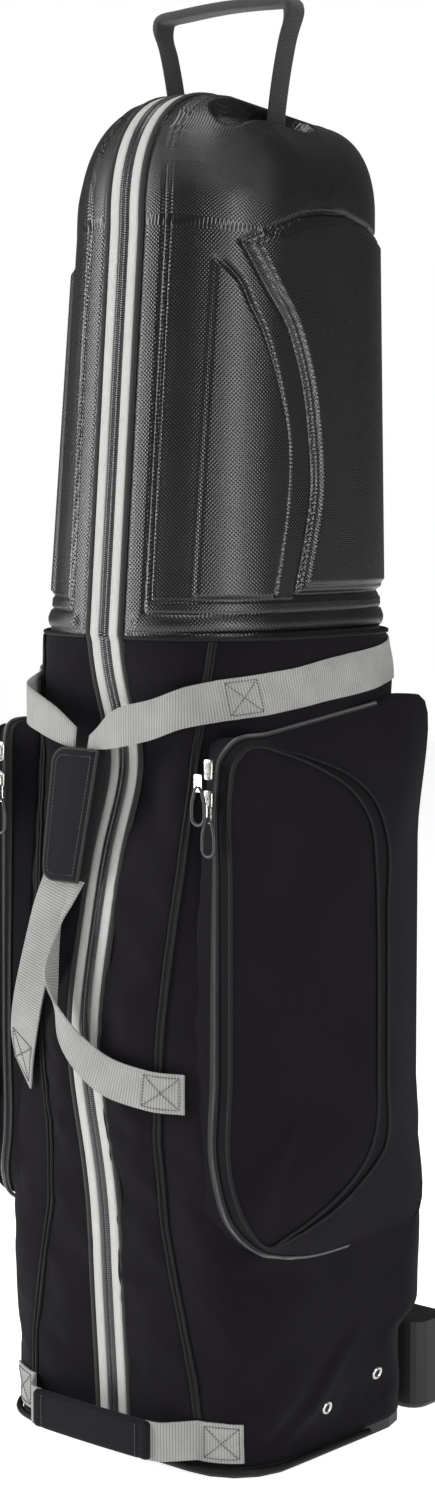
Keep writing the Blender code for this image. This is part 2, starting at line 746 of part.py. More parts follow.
def pockets():
    rim = pocket_rim()
    away = outline_normals(rim)
    root = pocket_root(rim)
    for label, side in SIDES:
        inner_root = root - away * POCKET_WALL
        inner_rim = rim - away * POCKET_WALL
        for k, point in enumerate(inner_root):
            section = Section(point[2])
            s = section.nearest(point[0], point[1])
            skin = section.point(s, POCKET_LIFT)
            outward = (section.point(s, 0.01) - section.point(s, 0.0)) / 0.01
            if np.dot(point - skin, outward) < 0.0:
                inner_root[k] = skin
        shy = np.array([GAP, 0.0, 0.0])
        outer = mirrored(np.stack([root, rim - shy], axis=1), side)
        inner = mirrored(np.stack([inner_root, inner_rim - shy], axis=1), side)
        add_object(f"pocket_gusset_{label}", thick_sheet(outer, inner, closed_u=True), BLACK_FABRIC)

        face = pocket_face(label)
        middle = face.mean(axis=0)
        crown = np.array([middle[0] + 0.004, middle[1], middle[2]])
        rows = [rim, mix(rim, face, 0.55) + np.array([0.003, 0.0, 0.0]), face,
                mix(face, crown, 0.5) + np.array([0.002, 0.0, 0.0])]
        inward = unit(middle - crown - np.array([0.03, 0.0, 0.0]))
        under = [rim - away * POCKET_WALL,
                 rows[1] - away * POCKET_WALL * 0.7 + inward * POCKET_WALL * 0.8,
                 face - away * POCKET_WALL * 0.4 + inward * POCKET_WALL,
                 rows[3] + inward * POCKET_WALL]
        door = dish(mirrored(rows, side), mirrored(under, side),
                    mirrored(crown, side), mirrored(crown + inward * POCKET_WALL, side))
        door = add_object(f"pocket_door_{label}", door, BLACK_FABRIC)
        set_origin(door, (side * (POCKET_BACK_X + 0.001), POCKET_BACK_Y + 0.0015, 0.20))
        pocket_zip(label, side, rim, root, away)
        pocket_sliders(label, side)


def dish(outer_rows, inner_rows, outer_tip, inner_tip):
    """A shallow closed bowl from rings that shrink to a tip, walled at the first ring."""
    bm = bmesh.new()
    skins = []
    for rows, tip in ((outer_rows, outer_tip), (inner_rows, inner_tip)):
        rings = [[bm.verts.new(p) for p in row] for row in rows]
        count = len(rings[0])
        for a, b in zip(rings[:-1], rings[1:]):
            for i in range(count):
                j = (i + 1) % count
                bm.faces.new([a[i], a[j], b[j], b[i]])
        point = bm.verts.new(tip)
        for i in range(count):
            bm.faces.new([rings[-1][i], rings[-1][(i + 1) % count], point])
        skins.append(rings[0])
    top, low = skins
    for i in range(len(top)):
        j = (i + 1) % len(top)
        bm.faces.new([top[i], top[j], low[j], low[i]])
    return bm


def pocket_zip(label, side, rim, root, away):
    """The coil lies on the gusset just below the rim, along the bottom, front and top runs."""
    radius = 0.0017
    path = []
    for k in range(2, 18):
        down = unit(root[k] - rim[k])
        out = unit(np.cross(rim[k + 1] - rim[k - 1], down))
        out *= np.sign(np.dot(out, away[k]))
        path.append(rim[k] + down * 0.0035 + out * (radius + 0.0018))
    add_object(f"pocket_zip_{label}", tube(mirrored(path, side), radius, 4), BLACK_TRIM)


def pocket_sliders(label, side):
    face_y = FRONT_RUN_Y - 0.0062
    for kind, z in (("upper", 0.660), ("lower", 0.632)):
        x = 0.1325
        low = (side * x - 0.005, face_y - 0.0055, z - 0.009)
        high = (side * x + 0.005, face_y, z + 0.009)
        slider = add_object(f"slider_{kind}_{label}", block(low, high, 0.0012), NICKEL)
        set_origin(slider, (side * x, face_y, z))
        shift = -0.0045 if kind == "upper" else 0.0045
        front = face_y - 0.0055 - GAP - (0.0035 if kind == "upper" else 0.0)
        pull = add_object(f"pull_{kind}_{label}",
                          block((side * x + shift - 0.004, front - PULL_THICK, z - 0.050),
                                (side * x + shift + 0.004, front, z - 0.003), 0.0008), RUBBER)
        set_origin(pull, (side * x + shift, front - PULL_THICK, z - 0.003))


# ---------------------------------------------------------------- carry handle
def skin_strap(side, stations, heights):
    """Webbing sewn flat on the body, as ribbon points and widths."""
    points, widths = [], []
    for s, z in zip(stations, heights):
        section = Section(z)
        points.append(section.point(section.length - s, STRAP_LIFT, side))
        widths.append((0.0, 0.0, WEBBING_WIDTH))
    return points, widths


def wrap_x(z):
    return -0.0135 + WRAP_LEAN * (z - WRAP_TOP)


def carry_handle():
    free = {"right": [(0.100, -0.1585, 0.713), (0.070, -0.1690, 0.702),
                      (0.036, -0.1740, 0.6955), (0.004, -0.1740, 0.6925)],
            "left": [(-0.098, -0.1600, 0.709), (-0.070, -0.1700, 0.700), (-0.030, -0.1740, 0.6925)]}
    for label, side in SIDES:
        section = Section(0.73)
        start = section.at_x(0.108)
        reach = section.length - start
        stations = np.linspace(0.095, reach, 16)
        heights = np.linspace(0.7535, 0.719, 16)
        points, widths = skin_strap(side, stations, heights)
        points += free[label]
        widths += [(0.0, 0.0, WEBBING_WIDTH)] * len(free[label])
        add_object(f"carry_strap_upper_{label}", ribbon(points, widths, WEBBING_THICK), GREY_WEBBING)

    w = WEBBING_WIDTH
    left = ribbon([(-0.048, -0.1740, 0.5425), (-0.064, -0.1800, 0.49), (-0.080, -0.1820, 0.43),
                   (-0.094, -0.1760, 0.385), (-0.103, -0.1655, 0.357)],
                  [(w * 0.95, 0, -w * 0.3), (w * 0.95, 0, -w * 0.3), (w * 0.95, 0, -w * 0.3),
                   (w * 0.80, 0, -w * 0.6), (w * 0.64, -w * 0.1, -w * 0.75)], WEBBING_THICK)
    add_object("carry_strap_lower_left", left, GREY_WEBBING)
    right = ribbon([(-0.024, -0.1760, 0.5425), (-0.034, -0.1860, 0.505), (-0.036, -0.1960, 0.46),
                    (-0.020, -0.1980, 0.41), (0.020, -0.1900, 0.374), (0.070, -0.1800, 0.362),
                    (0.104, -0.1630, 0.360)],
                   [(w * 0.35, 0, -w * 0.1), (w * 0.35, -w * 0.4, 0), (w * 0.3, -w * 0.8, w * 0.1),
                    (w * 0.5, -w * 0.3, w * 0.7), (w * 0.35, 0, w * 0.93), (w * 0.1, 0, w),
                    (0, 0, w)], WEBBING_THICK)
    add_object("carry_strap_lower_right", right, GREY_WEBBING)

    back = -0.1640
    front = back - WRAP_DEPTH
    rings = []
    for z, shrink in ((WRAP_BOTTOM, 0.003), (WRAP_BOTTOM + 0.004, 0.0),
                      (WRAP_TOP - 0.004, 0.0), (WRAP_TOP, 0.003)):
        outline = rounded_rect(WRAP_HALF - shrink, WRAP_DEPTH / 2.0 - shrink, 0.005, 3)
        rings.append([np.array([wrap_x(z) + x, y + (back + front) / 2.0, z]) for x, y in outline])
    add_object("carry_wrap", loft(rings), BLACK_FABRIC)

    flap = flap_outline()
    outer = [np.array([x, front - GAP - 0.0022, z]) for x, z in flap]
    inner = [np.array([x, front - GAP, z]) for x, z in flap]
    flap = add_object("carry_wrap_flap", loft([inner, outer]), BLACK_FABRIC)
    set_origin(flap, (wrap_x(WRAP_TOP) + WRAP_HALF, front - GAP, WRAP_TOP))


def flap_outline():
    """The flap's outline in X-Z, with two rounded corners on its free left edge."""
    points = []
    radius = 0.014
    top, bottom = WRAP_TOP - 0.001, WRAP_BOTTOM + 0.001
    right = WRAP_HALF
    left = -WRAP_HALF - 0.004
    points.append((wrap_x(bottom) + right, bottom))
    points.append((wrap_x(top) + right, top))
    for k in range(5):
        angle = math.radians(90.0 + 22.5 * k)
        z = top - radius + radius * math.sin(angle)
        points.append((wrap_x(z) + left + radius + radius * math.cos(angle), z))
    for k in range(5):
        angle = math.radians(180.0 + 22.5 * k)
        z = bottom + radius + radius * math.sin(angle)
        points.append((wrap_x(z) + left + radius + radius * math.cos(angle), z))
    return points


# ---------------------------------------------------------------- end handles
def ridge_z(y):
    return CROWN_Z - RIDGE_SLOPE * (y - RIDGE_FRONT_Y)


def top_handle():
    foot_z = ridge_z(HANDLE_Y - HANDLE_WIDTH / 2.0) - 0.0040
    leg_top = HANDLE_TOP - GRIP_THICK / 2.0 - 0.004
    across = (0.0, HANDLE_WIDTH, 0.0)
    for label, side in SIDES:
        points = [(side * HANDLE_FOOT, HANDLE_Y, foot_z + 0.0006),
                  (side * (HANDLE_FOOT + 0.004), HANDLE_Y, mix(foot_z, leg_top, 0.35)),
                  (side * (HANDLE_FOOT + 0.012), HANDLE_Y, mix(foot_z, leg_top, 0.7)),
                  (side * (HANDLE_REACH - 0.005), HANDLE_Y, leg_top)]
        add_object(f"top_handle_leg_{label}", ribbon(points, [across] * 4, 0.0025), BLACK_TRIM)
    rings = []
    for t in np.linspace(-1.0, 1.0, 9):
        x = t * HANDLE_REACH
        z = HANDLE_TOP + 0.006 * (1.0 - t * t)
        shrink = 0.85 if abs(t) > 0.99 else 1.0
        outline = rounded_rect(HANDLE_WIDTH / 2.0 * shrink, GRIP_THICK / 2.0 * shrink, 0.004, 3)
        rings.append([np.array([x, HANDLE_Y + a, z + b]) for a, b in outline])
    add_object("top_handle_grip", loft(rings), BLACK_TRIM)


def bottom_handle():
    """Haul handle across the foot of the zipper: a sleeve that swings between two sewn tails."""
    z, half = 0.033, WEBBING_WIDTH / 2.0
    rings = []
    for x in (-0.0745, -0.072, -0.03, 0.03, 0.072, 0.0745):
        shrink = 0.85 if abs(x) > 0.073 else 1.0
        outline = rounded_rect(0.004 * shrink, half * shrink, 0.003, 2)
        rings.append([np.array([x, -0.180 + a, z + b]) for a, b in outline])
    sleeve = add_object("bottom_handle_sleeve", loft(rings), BLACK_FABRIC)
    set_origin(sleeve, (0.0, -0.1560, z))
    section = Section(z)
    for label, side in SIDES:
        points = [(side * 0.0750, -0.1795, z), (side * 0.084, -0.1765, z), (side * 0.093, -0.1655, z),
                  (side * 0.100, -0.1550, z)]
        start = section.at_x(0.106)
        for s in np.linspace(start, start + 0.042, 5):
            points.append(section.point(s, GAP + WEBBING_THICK, side))
        widths = [(0.0, 0.0, WEBBING_WIDTH)] * len(points)
        add_object(f"bottom_handle_tail_{label}", ribbon(points, widths, WEBBING_THICK), GREY_WEBBING)


def main():
    for obj in list(bpy.data.objects):
        bpy.data.objects.remove(obj, do_unlink=True)
    base()
    heel()
    eyelets()
    lower_body()
    fabric_walls()
    seam_piping()
    hard_shell()
    zipper()
    pockets()
    carry_handle()
    top_handle()
    bottom_handle()


main()
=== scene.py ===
"""Looks of the hard-top golf travel case: moulded shell, padded fabric, zippers, webbing and hardware."""
import math
from contextlib import contextmanager

import bmesh
import bpy
import numpy as np
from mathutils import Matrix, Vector
from mathutils.bvhtree import BVHTree


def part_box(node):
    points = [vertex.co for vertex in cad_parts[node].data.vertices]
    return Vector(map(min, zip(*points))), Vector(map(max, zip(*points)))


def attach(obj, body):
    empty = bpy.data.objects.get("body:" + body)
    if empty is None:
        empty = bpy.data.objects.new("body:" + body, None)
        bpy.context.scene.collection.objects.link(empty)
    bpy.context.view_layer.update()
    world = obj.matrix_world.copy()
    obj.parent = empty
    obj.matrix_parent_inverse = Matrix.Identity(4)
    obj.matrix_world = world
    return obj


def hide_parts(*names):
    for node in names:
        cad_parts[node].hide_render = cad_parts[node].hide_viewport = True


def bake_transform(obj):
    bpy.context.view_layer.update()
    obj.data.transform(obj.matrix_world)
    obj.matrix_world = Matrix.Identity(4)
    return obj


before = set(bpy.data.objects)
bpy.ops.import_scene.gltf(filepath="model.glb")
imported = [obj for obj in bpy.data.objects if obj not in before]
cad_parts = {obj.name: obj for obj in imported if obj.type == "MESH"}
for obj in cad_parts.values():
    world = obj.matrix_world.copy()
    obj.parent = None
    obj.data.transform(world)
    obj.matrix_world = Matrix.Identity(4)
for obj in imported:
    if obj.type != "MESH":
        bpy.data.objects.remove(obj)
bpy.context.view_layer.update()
SIDES = (("right", 1.0), ("left", -1.0))
HALF_BODY = {"right": "case", "left": "left_half"}

# ---------------------------------------------------------------- dimensions shared with the frame
SEAM_Z = 0.775
CROWN_Z = 1.276
BODY_LOW = 0.0106
TURN_HIGH = 0.205
BASE_HALF_WIDTH = 0.160
SEAM_HALF_WIDTH = 0.143
BASE_CORNER = 0.062
SEAM_CORNER = 0.116
BASE_FRONT = 0.148
MID_FRONT = 0.157
BASE_BACK = 0.126
MID_BACK = 0.153
TOP_BACK = 0.157
HEEL_LOW = 0.092
HEEL_HIGH = 0.118
WAVE_FLAT = 0.035
SHELL_LOW_HALF = 0.131
SHELL_TOP_HALF = 0.121
SHELL_TOP_FRONT = 0.129
SHELL_INSET = 0.105
BAND_HALF = 0.024
WALL_EDGE = 0.0070
ZIP_BACK_END = 0.60
SEAM_FRONT = 0.159
FRONT_SPRING = 1.150
BACK_SPRING = 1.190
RIDGE_FRONT_Y = -0.030
RIDGE_BACK_Y = 0.095
RIDGE_SLOPE = 0.117
WEBBING_WIDTH = 0.037
WRAP_TOP = 0.672
WRAP_BOTTOM = 0.545
WRAP_LEAN = 0.177
HANDLE_Y = 0.014
POCKET_BACK = (0.168, 0.100)
SIDE_SEAM = ((0.0, 0.110), (0.09, 0.103), (0.16, 0.089), (0.23, 0.074), (0.31, 0.070),
             (0.44, 0.080), (0.56, 0.091), (0.67, 0.098), (SEAM_Z, 0.114))
BACK_SEAM = 0.100


# ---------------------------------------------------------------- small maths
def mix(a, b, t):
    return a + (b - a) * t


def clamp(t):
    return min(max(t, 0.0), 1.0)


def smooth(t):
    t = clamp(t)
    return t * t * (3.0 - 2.0 * t)


def ramp(low, high, x):
    t = np.clip((x - low) / (high - low), 0.0, 1.0)
    return t * t * (3.0 - 2.0 * t)


def hump(x, middle, spread):
    return np.exp(-0.5 * ((x - middle) / spread) ** 2)


def unit(v):
    v = np.asarray(v, float)
    return v / np.linalg.norm(v)


def arc_length(line):
    """Distance along a line of points, at each of them."""
    return np.concatenate([[0.0], np.cumsum(np.linalg.norm(np.diff(line, axis=0), axis=1))])


def spline(points, count):
    """Evenly spaced points on a smooth curve through the control points."""
    points = np.asarray(points, float)
    padded = np.vstack([2 * points[0] - points[1], points, 2 * points[-1] - points[-2]])
    dense = []
    for k in range(len(points) - 1):
        a, b, c, d = padded[k: k + 4]
        for t in np.linspace(0.0, 1.0, 24, endpoint=False):
            dense.append(0.5 * (2 * b + (c - a) * t + (2 * a - 5 * b + 4 * c - d) * t**2
                                + (3 * b - a - 3 * c + d) * t**3))
    dense.append(points[-1])
    dense = np.array(dense)
    place = arc_length(dense[:, :3])
    wanted = np.linspace(0.0, place[-1], count)
    return np.stack([np.interp(wanted, place, dense[:, k]) for k in range(dense.shape[1])], axis=1)


class Noise:
    """Smooth repeatable noise on a plane, from -1 to 1."""

    def __init__(self, seed, size=48):
        self.grid = np.random.default_rng(seed).uniform(-1.0, 1.0, (size, size))
        self.size = size

    def __call__(self, u, v):
        u0, v0 = np.floor(u).astype(int), np.floor(v).astype(int)
        fu, fv = u - u0, v - v0
        fu, fv = fu * fu * (3 - 2 * fu), fv * fv * (3 - 2 * fv)
        n, g = self.size, self.grid
        low = mix(g[u0 % n, v0 % n], g[(u0 + 1) % n, v0 % n], fu)
        high = mix(g[u0 % n, (v0 + 1) % n], g[(u0 + 1) % n, (v0 + 1) % n], fu)
        return mix(low, high, fv)


# ---------------------------------------------------------------- the body's section
def taper(z):
    """0 where the body is widest, low down, to 1 at the shell's seam."""
    return clamp((z - 0.25) / (SEAM_Z - 0.25))


def half_width(z):
    return mix(BASE_HALF_WIDTH, SEAM_HALF_WIDTH, taper(z) ** 2)


def front_wave(z):
    """How far the front middle is drawn in at the carry wrap and pushed out below it."""
    return 0.0157 * hump(z, 0.66, 0.055) - 0.0165 * hump(z, 0.40, 0.085)


def zip_shift(z):
    if z >= SEAM_Z:
        return 0.0
    return 0.0112 * hump(z, 0.66, 0.045) - 0.0118 * hump(z, 0.40, 0.085)


def front_y(z):
    if z < 0.2:
        return -mix(BASE_FRONT, MID_FRONT, smooth(z / 0.2))
    return -mix(MID_FRONT, SEAM_FRONT, smooth((z - 0.2) / (SEAM_Z - 0.2)))


def back_y(z):
    low = mix(BASE_BACK, MID_BACK, smooth((z - HEEL_LOW) / (HEEL_HIGH - HEEL_LOW)))
    return low + (TOP_BACK - MID_BACK) * smooth((z - 0.2) / 0.3)


class Section:
    """Half of the body's outline at one height, from the front middle round to the back middle."""

    def __init__(self, z):
        a = half_width(z)
        r = mix(BASE_CORNER, SEAM_CORNER, taper(z) ** 1.5)
        yf, yb = front_y(z), back_y(z)
        points = [((a - r) * k / 6.0, yf) for k in range(6)]
        for k in range(25):
            angle = math.radians(90.0 * k / 24)
            points.append((a - r + r * math.sin(angle), yf + r - r * math.cos(angle)))
        points += [(a, mix(yf + r, yb - r, k / 6.0)) for k in range(1, 6)]
        for k in range(25):
            angle = math.radians(90.0 * k / 24)
            points.append((a - r + r * math.cos(angle), yb - r + r * math.sin(angle)))
        points += [((a - r) * (1.0 - k / 6.0), yb) for k in range(1, 7)]
        line = np.array(points)
        fall = np.clip((line[:, 0] - WAVE_FLAT) / (0.9 * a - WAVE_FLAT), 0.0, 1.0)
        fade = np.cos(0.5 * math.pi * fall) ** 2
        line[:, 1] += np.where(line[:, 1] < 0.0, front_wave(z) * fade, 0.0)
        self.s = np.concatenate([[0.0], np.cumsum(np.hypot(*np.diff(line, axis=0).T))])
        self.line = line
        self.length = self.s[-1]
        self.z = z
        slope = np.gradient(line, self.s, axis=0)
        slope /= np.linalg.norm(slope, axis=1)[:, None]
        self.normal = np.stack([slope[:, 1], -slope[:, 0]], axis=1)
        self.normal[0] = (0.0, -1.0)
        self.normal[-1] = (0.0, 1.0)

    def points(self, s, off, side):
        s = np.asarray(s, float)
        x, y = (np.interp(s, self.s, self.line[:, k]) for k in (0, 1))
        nx, ny = (np.interp(s, self.s, self.normal[:, k]) for k in (0, 1))
        size = np.hypot(nx, ny)
        return np.stack([side * (x + off * nx / size), y + off * ny / size,
                         np.full_like(x, self.z)], axis=-1)

    def at_x(self, x):
        half = self.line[:, 0].argmax()
        return float(np.interp(x, self.line[: half + 1, 0], self.s[: half + 1]))


def side_seam(z):
    return float(np.interp(z, [p[0] for p in SIDE_SEAM], [p[1] for p in SIDE_SEAM]))


# ---------------------------------------------------------------- materials
class Look:
    """A node material with a few short ways to add texture to it."""

    def __init__(self, name, roughness, metallic=0.0, specular=0.5, solid=False):
        self.solid = solid
        self.mat = bpy.data.materials.new(name)
        self.mat.use_nodes = True
        self.nodes, self.links = self.mat.node_tree.nodes, self.mat.node_tree.links
        self.shader = self.nodes["Principled BSDF"]
        self.set("Roughness", roughness)
        self.set("Metallic", metallic)
        self.set("Specular IOR Level", specular)
        self.height = None

    def set(self, socket, value):
        self.shader.inputs[socket].default_value = value

    def node(self, kind, **values):
        node = self.nodes.new(kind)
        for key, value in values.items():
            setattr(node, key, value)
        return node

    def coords(self, scale, turn=0.0):
        if self.solid:
            place = self.node("ShaderNodeTexCoord").outputs["Object"]
        else:
            place = self.node("ShaderNodeAttribute", attribute_name="weave").outputs["Vector"]
        mapping = self.node("ShaderNodeMapping")
        mapping.inputs["Scale"].default_value = scale if isinstance(scale, tuple) else (scale,) * 3
        mapping.inputs["Rotation"].default_value = (0.0, 0.0, math.radians(turn))
        self.links.new(place, mapping.inputs["Vector"])
        return mapping.outputs["Vector"]

    def math(self, operation, a, b):
        node = self.node("ShaderNodeMath", operation=operation)
        for socket, value in zip(node.inputs, (a, b)):
            if isinstance(value, (int, float)):
                socket.default_value = value
            else:
                self.links.new(value, socket)
        return node.outputs[0]

    def noise(self, scale, detail):
        node = self.node("ShaderNodeTexNoise")
        node.inputs["Scale"].default_value = 1.0
        node.inputs["Detail"].default_value = detail
        self.links.new(self.coords(scale), node.inputs["Vector"])
        return node.outputs["Fac"]

    def bands(self, pitch, axis, turn=0.0):
        node = self.node("ShaderNodeTexWave", wave_type="BANDS", bands_direction=axis, wave_profile="SIN")
        node.inputs["Scale"].default_value = 1.0
        node.inputs["Distortion"].default_value = 0.0
        self.links.new(self.coords(math.pi / (10.0 * pitch), turn), node.inputs["Vector"])
        return node.outputs["Fac"]

    def colour(self, dark, light, factor):
        node = self.node("ShaderNodeMix", data_type="RGBA")
        node.inputs[6].default_value = (*dark, 1.0)
        node.inputs[7].default_value = (*light, 1.0)
        self.links.new(factor, node.inputs[0])
        self.links.new(node.outputs[2], self.shader.inputs["Base Color"])

    def vary_roughness(self, low, high, factor):
        node = self.node("ShaderNodeMapRange")
        node.inputs["To Min"].default_value = low
        node.inputs["To Max"].default_value = high
        self.links.new(factor, node.inputs["Value"])
        self.links.new(node.outputs["Result"], self.shader.inputs["Roughness"])

    def bump(self, height, distance, strength):
        node = self.node("ShaderNodeBump")
        node.inputs["Distance"].default_value = distance
        node.inputs["Strength"].default_value = strength
        self.links.new(height, node.inputs["Height"])
        if self.height is not None:
            self.links.new(self.height, node.inputs["Normal"])
        self.height = node.outputs["Normal"]
        self.links.new(self.height, self.shader.inputs["Normal"])


def fabric(name, dark, light, pitch, sheen):
    look = Look(name, 0.86, specular=0.07)
    look.set("Sheen Weight", sheen)
    look.set("Sheen Roughness", 0.45)
    threads = look.math("MULTIPLY", look.bands(pitch, "X"), look.bands(pitch, "Y"))
    fibre = look.noise((420.0, 1400.0, 420.0), 2.0)
    cloud = look.noise(14.0, 4.0)
    look.colour(dark, light, look.math("ADD", look.math("MULTIPLY", cloud, 0.55),
                                       look.math("MULTIPLY", look.math("ADD", threads, fibre), 0.22)))
    look.bump(look.noise(45.0, 3.0), 0.0006, 0.5)
    look.bump(threads, 0.0002, 0.6)
    return look.mat


def webbing(name, dark, light, pitch, sheen=0.2):
    look = Look(name, 0.72, specular=0.3)
    look.set("Sheen Weight", sheen)
    ribs = look.bands(pitch, "Y")
    threads = look.bands(pitch * 0.55, "X")
    both = look.math("ADD", look.math("MULTIPLY", ribs, 0.7), look.math("MULTIPLY", threads, 0.3))
    grime = look.noise(38.0, 4.0)
    look.colour(dark, light, look.math("ADD", look.math("MULTIPLY", both, 0.6),
                                       look.math("MULTIPLY", grime, 0.4)))
    look.bump(both, 0.0005, 0.8)
    return look.mat


def moulded(name, dark, light, low, high, pitch, depth, specular=0.5, solid=False):
    look = Look(name, high, specular=specular, solid=solid)
    one = look.bands(pitch, "X", 45.0)
    two = look.bands(pitch, "X", -45.0)
    diamonds = look.math("MULTIPLY", one, two)
    cloud = look.noise(22.0, 5.0)
    look.colour(dark, light, look.math("ADD", look.math("MULTIPLY", diamonds, 0.6),
                                       look.math("MULTIPLY", cloud, 0.4)))
    look.vary_roughness(low, high, cloud)
    look.bump(look.noise(260.0, 2.0), 0.0001, 0.4)
    look.bump(diamonds, depth, 0.9)
    return look.mat


def metal(name, dark, light, roughness, solid=False):
    look = Look(name, roughness, metallic=1.0, solid=solid)
    scuff = look.noise(320.0, 4.0)
    look.colour(dark, light, scuff)
    look.vary_roughness(roughness * 0.7, roughness * 1.4, scuff)
    look.bump(look.noise(900.0, 2.0), 0.00005, 0.4)
    return look.mat


def rubber(name, dark, light, roughness, solid=False, specular=0.4):
    look = Look(name, roughness, specular=specular, solid=solid)
    dust = look.noise(90.0, 4.0)
    look.colour(dark, light, dust)
    look.vary_roughness(roughness * 0.85, min(1.0, roughness * 1.2), dust)
    look.bump(look.noise(700.0, 2.0), 0.0001, 0.5)
    return look.mat


SHELL = moulded("shell_abs", (0.0035, 0.0035, 0.0038), (0.0090, 0.0090, 0.0095), 0.23, 0.32,
                0.0026, 0.00032, 0.50)
FABRIC = fabric("black_polyester", (0.0030, 0.0025, 0.0034), (0.0092, 0.0078, 0.0102), 0.0008, 0.02)
FLANNEL = fabric("black_padding", (0.0045, 0.0040, 0.0050), (0.0130, 0.0120, 0.0140), 0.0006, 0.04)
LINING = fabric("lining", (0.02, 0.02, 0.021), (0.035, 0.035, 0.037), 0.0012, 0.2)
PIPING = rubber("piping", (0.003, 0.003, 0.0035), (0.008, 0.0075, 0.009), 0.60, specular=0.14)
GREY = webbing("grey_webbing", (0.10, 0.10, 0.097), (0.36, 0.36, 0.345), 0.0028, 0.10)
BLACK_WEB = webbing("black_webbing", (0.006, 0.006, 0.007), (0.026, 0.025, 0.027), 0.0017, 0.2)
SILVER = webbing("silver_tape", (0.38, 0.38, 0.365), (0.60, 0.60, 0.575), 0.0007, 0.1)
TAPE_BLACK = webbing("black_tape", (0.006, 0.006, 0.007), (0.018, 0.018, 0.019), 0.0008, 0.1)
COIL = moulded("coil_teeth", (0.022, 0.022, 0.024), (0.060, 0.060, 0.064), 0.28, 0.40, 0.0006, 0.00004, 0.8)
NICKEL = metal("nickel", (0.42, 0.41, 0.39), (0.74, 0.73, 0.70), 0.26)
CORD = rubber("pull_cord", (0.010, 0.010, 0.011), (0.024, 0.024, 0.026), 0.42)
THREAD = webbing("black_thread", (0.030, 0.030, 0.032), (0.070, 0.068, 0.072), 0.0009, 0.1)
GREY_THREAD = webbing("grey_thread", (0.05, 0.05, 0.048), (0.11, 0.11, 0.105), 0.0009, 0.1)
PLASTIC_SOLID = moulded("housing_abs", (0.010, 0.010, 0.011), (0.018, 0.018, 0.019), 0.45, 0.60,
                        0.0012, 0.00005, 0.3, True)
RUBBER_SOLID = rubber("tyre_rubber", (0.010, 0.010, 0.011), (0.022, 0.022, 0.022), 0.62, True)
NICKEL_SOLID = metal("axle_nickel", (0.42, 0.41, 0.39), (0.74, 0.73, 0.70), 0.3, True)
FLOOR = Look("floor", 0.9, specular=0.0)
FLOOR.colour((0.86, 0.86, 0.865), (0.90, 0.90, 0.90), FLOOR.noise(0.6, 2.0))
FLOOR.set("Emission Color", (1.0, 1.0, 1.0, 1.0))
FLOOR.set("Emission Strength", 0.80)
FLOOR = FLOOR.mat
# painted shade: the near-black colour of the disc that stands in for the shade inside the eyelets' holes
HOLE_SHADE = rubber("painted_hole_shade", (0.003, 0.003, 0.003), (0.006, 0.006, 0.006), 0.9)


# ---------------------------------------------------------------- mesh helpers
def new_piece(name, verts, faces, mat, weave=None, smooth_angle=60.0):
    mesh = bpy.data.meshes.new(name)
    verts = np.asarray(verts, float)
    mesh.from_pydata(verts.tolist(), [], [tuple(int(i) for i in f) for f in faces])
    set_weave(mesh, verts if weave is None else weave)
    mesh.shade_smooth()
    if smooth_angle is not None:
        mesh.set_sharp_from_angle(angle=math.radians(smooth_angle))
    mesh.materials.append(mat)
    obj = bpy.data.objects.new(name, mesh)
    bpy.context.scene.collection.objects.link(obj)
    return obj


def set_weave(mesh, weave):
    flat = np.zeros((len(mesh.vertices), 3), np.float32)
    weave = np.asarray(weave, float).reshape(len(mesh.vertices), -1)
    flat[:, : weave.shape[1]] = weave
    layer = mesh.attributes.get("weave") or mesh.attributes.new("weave", "FLOAT_VECTOR", "POINT")
    layer.data.foreach_set("vector", flat.ravel())


def grid_faces(rows, cols, closed=False, flip=False):
    index = np.arange(rows * cols).reshape(rows, cols)
    if closed:
        index = np.vstack([index, index[:1]])
    quads = np.stack([index[:-1, :-1], index[1:, :-1], index[1:, 1:], index[:-1, 1:]], axis=-1)
    quads = quads.reshape(-1, 4)
    return quads[:, ::-1] if flip else quads


def facing_out(grid, inside):
    """True if the grid's faces, wound as grid_faces winds them, point away from the inside."""
    a = grid[1:, :-1] - grid[:-1, :-1]
    b = grid[:-1, 1:] - grid[:-1, :-1]
    middle = grid[:-1, :-1]
    away = middle - np.asarray(inside)
    return float(np.sum(np.cross(a, b) * away)) > 0.0


def sheet(name, grid, mat, weave=None, inside=(0.0, 0.0, 0.7), thick=0.0, angle=60.0):
    """A sheet through a grid of points, facing away from inside, thickened inwards."""
    grid = np.asarray(grid, float)
    rows, cols = grid.shape[:2]
    faces = grid_faces(rows, cols, flip=not facing_out(grid, inside))
    obj = new_piece(name, grid.reshape(-1, 3), faces, mat,
                    None if weave is None else np.asarray(weave).reshape(rows * cols, -1), angle)
    if thick:
        solid = obj.modifiers.new("thickness", "SOLIDIFY")
        solid.thickness = thick
        solid.offset = -1.0
    return obj


def lined(obj, thick):
    """Thickness on the inside, with a lining there."""
    obj.data.materials.append(LINING)
    solid = obj.modifiers.new("thickness", "SOLIDIFY")
    solid.thickness = thick
    solid.offset = -1.0
    solid.material_offset = 1


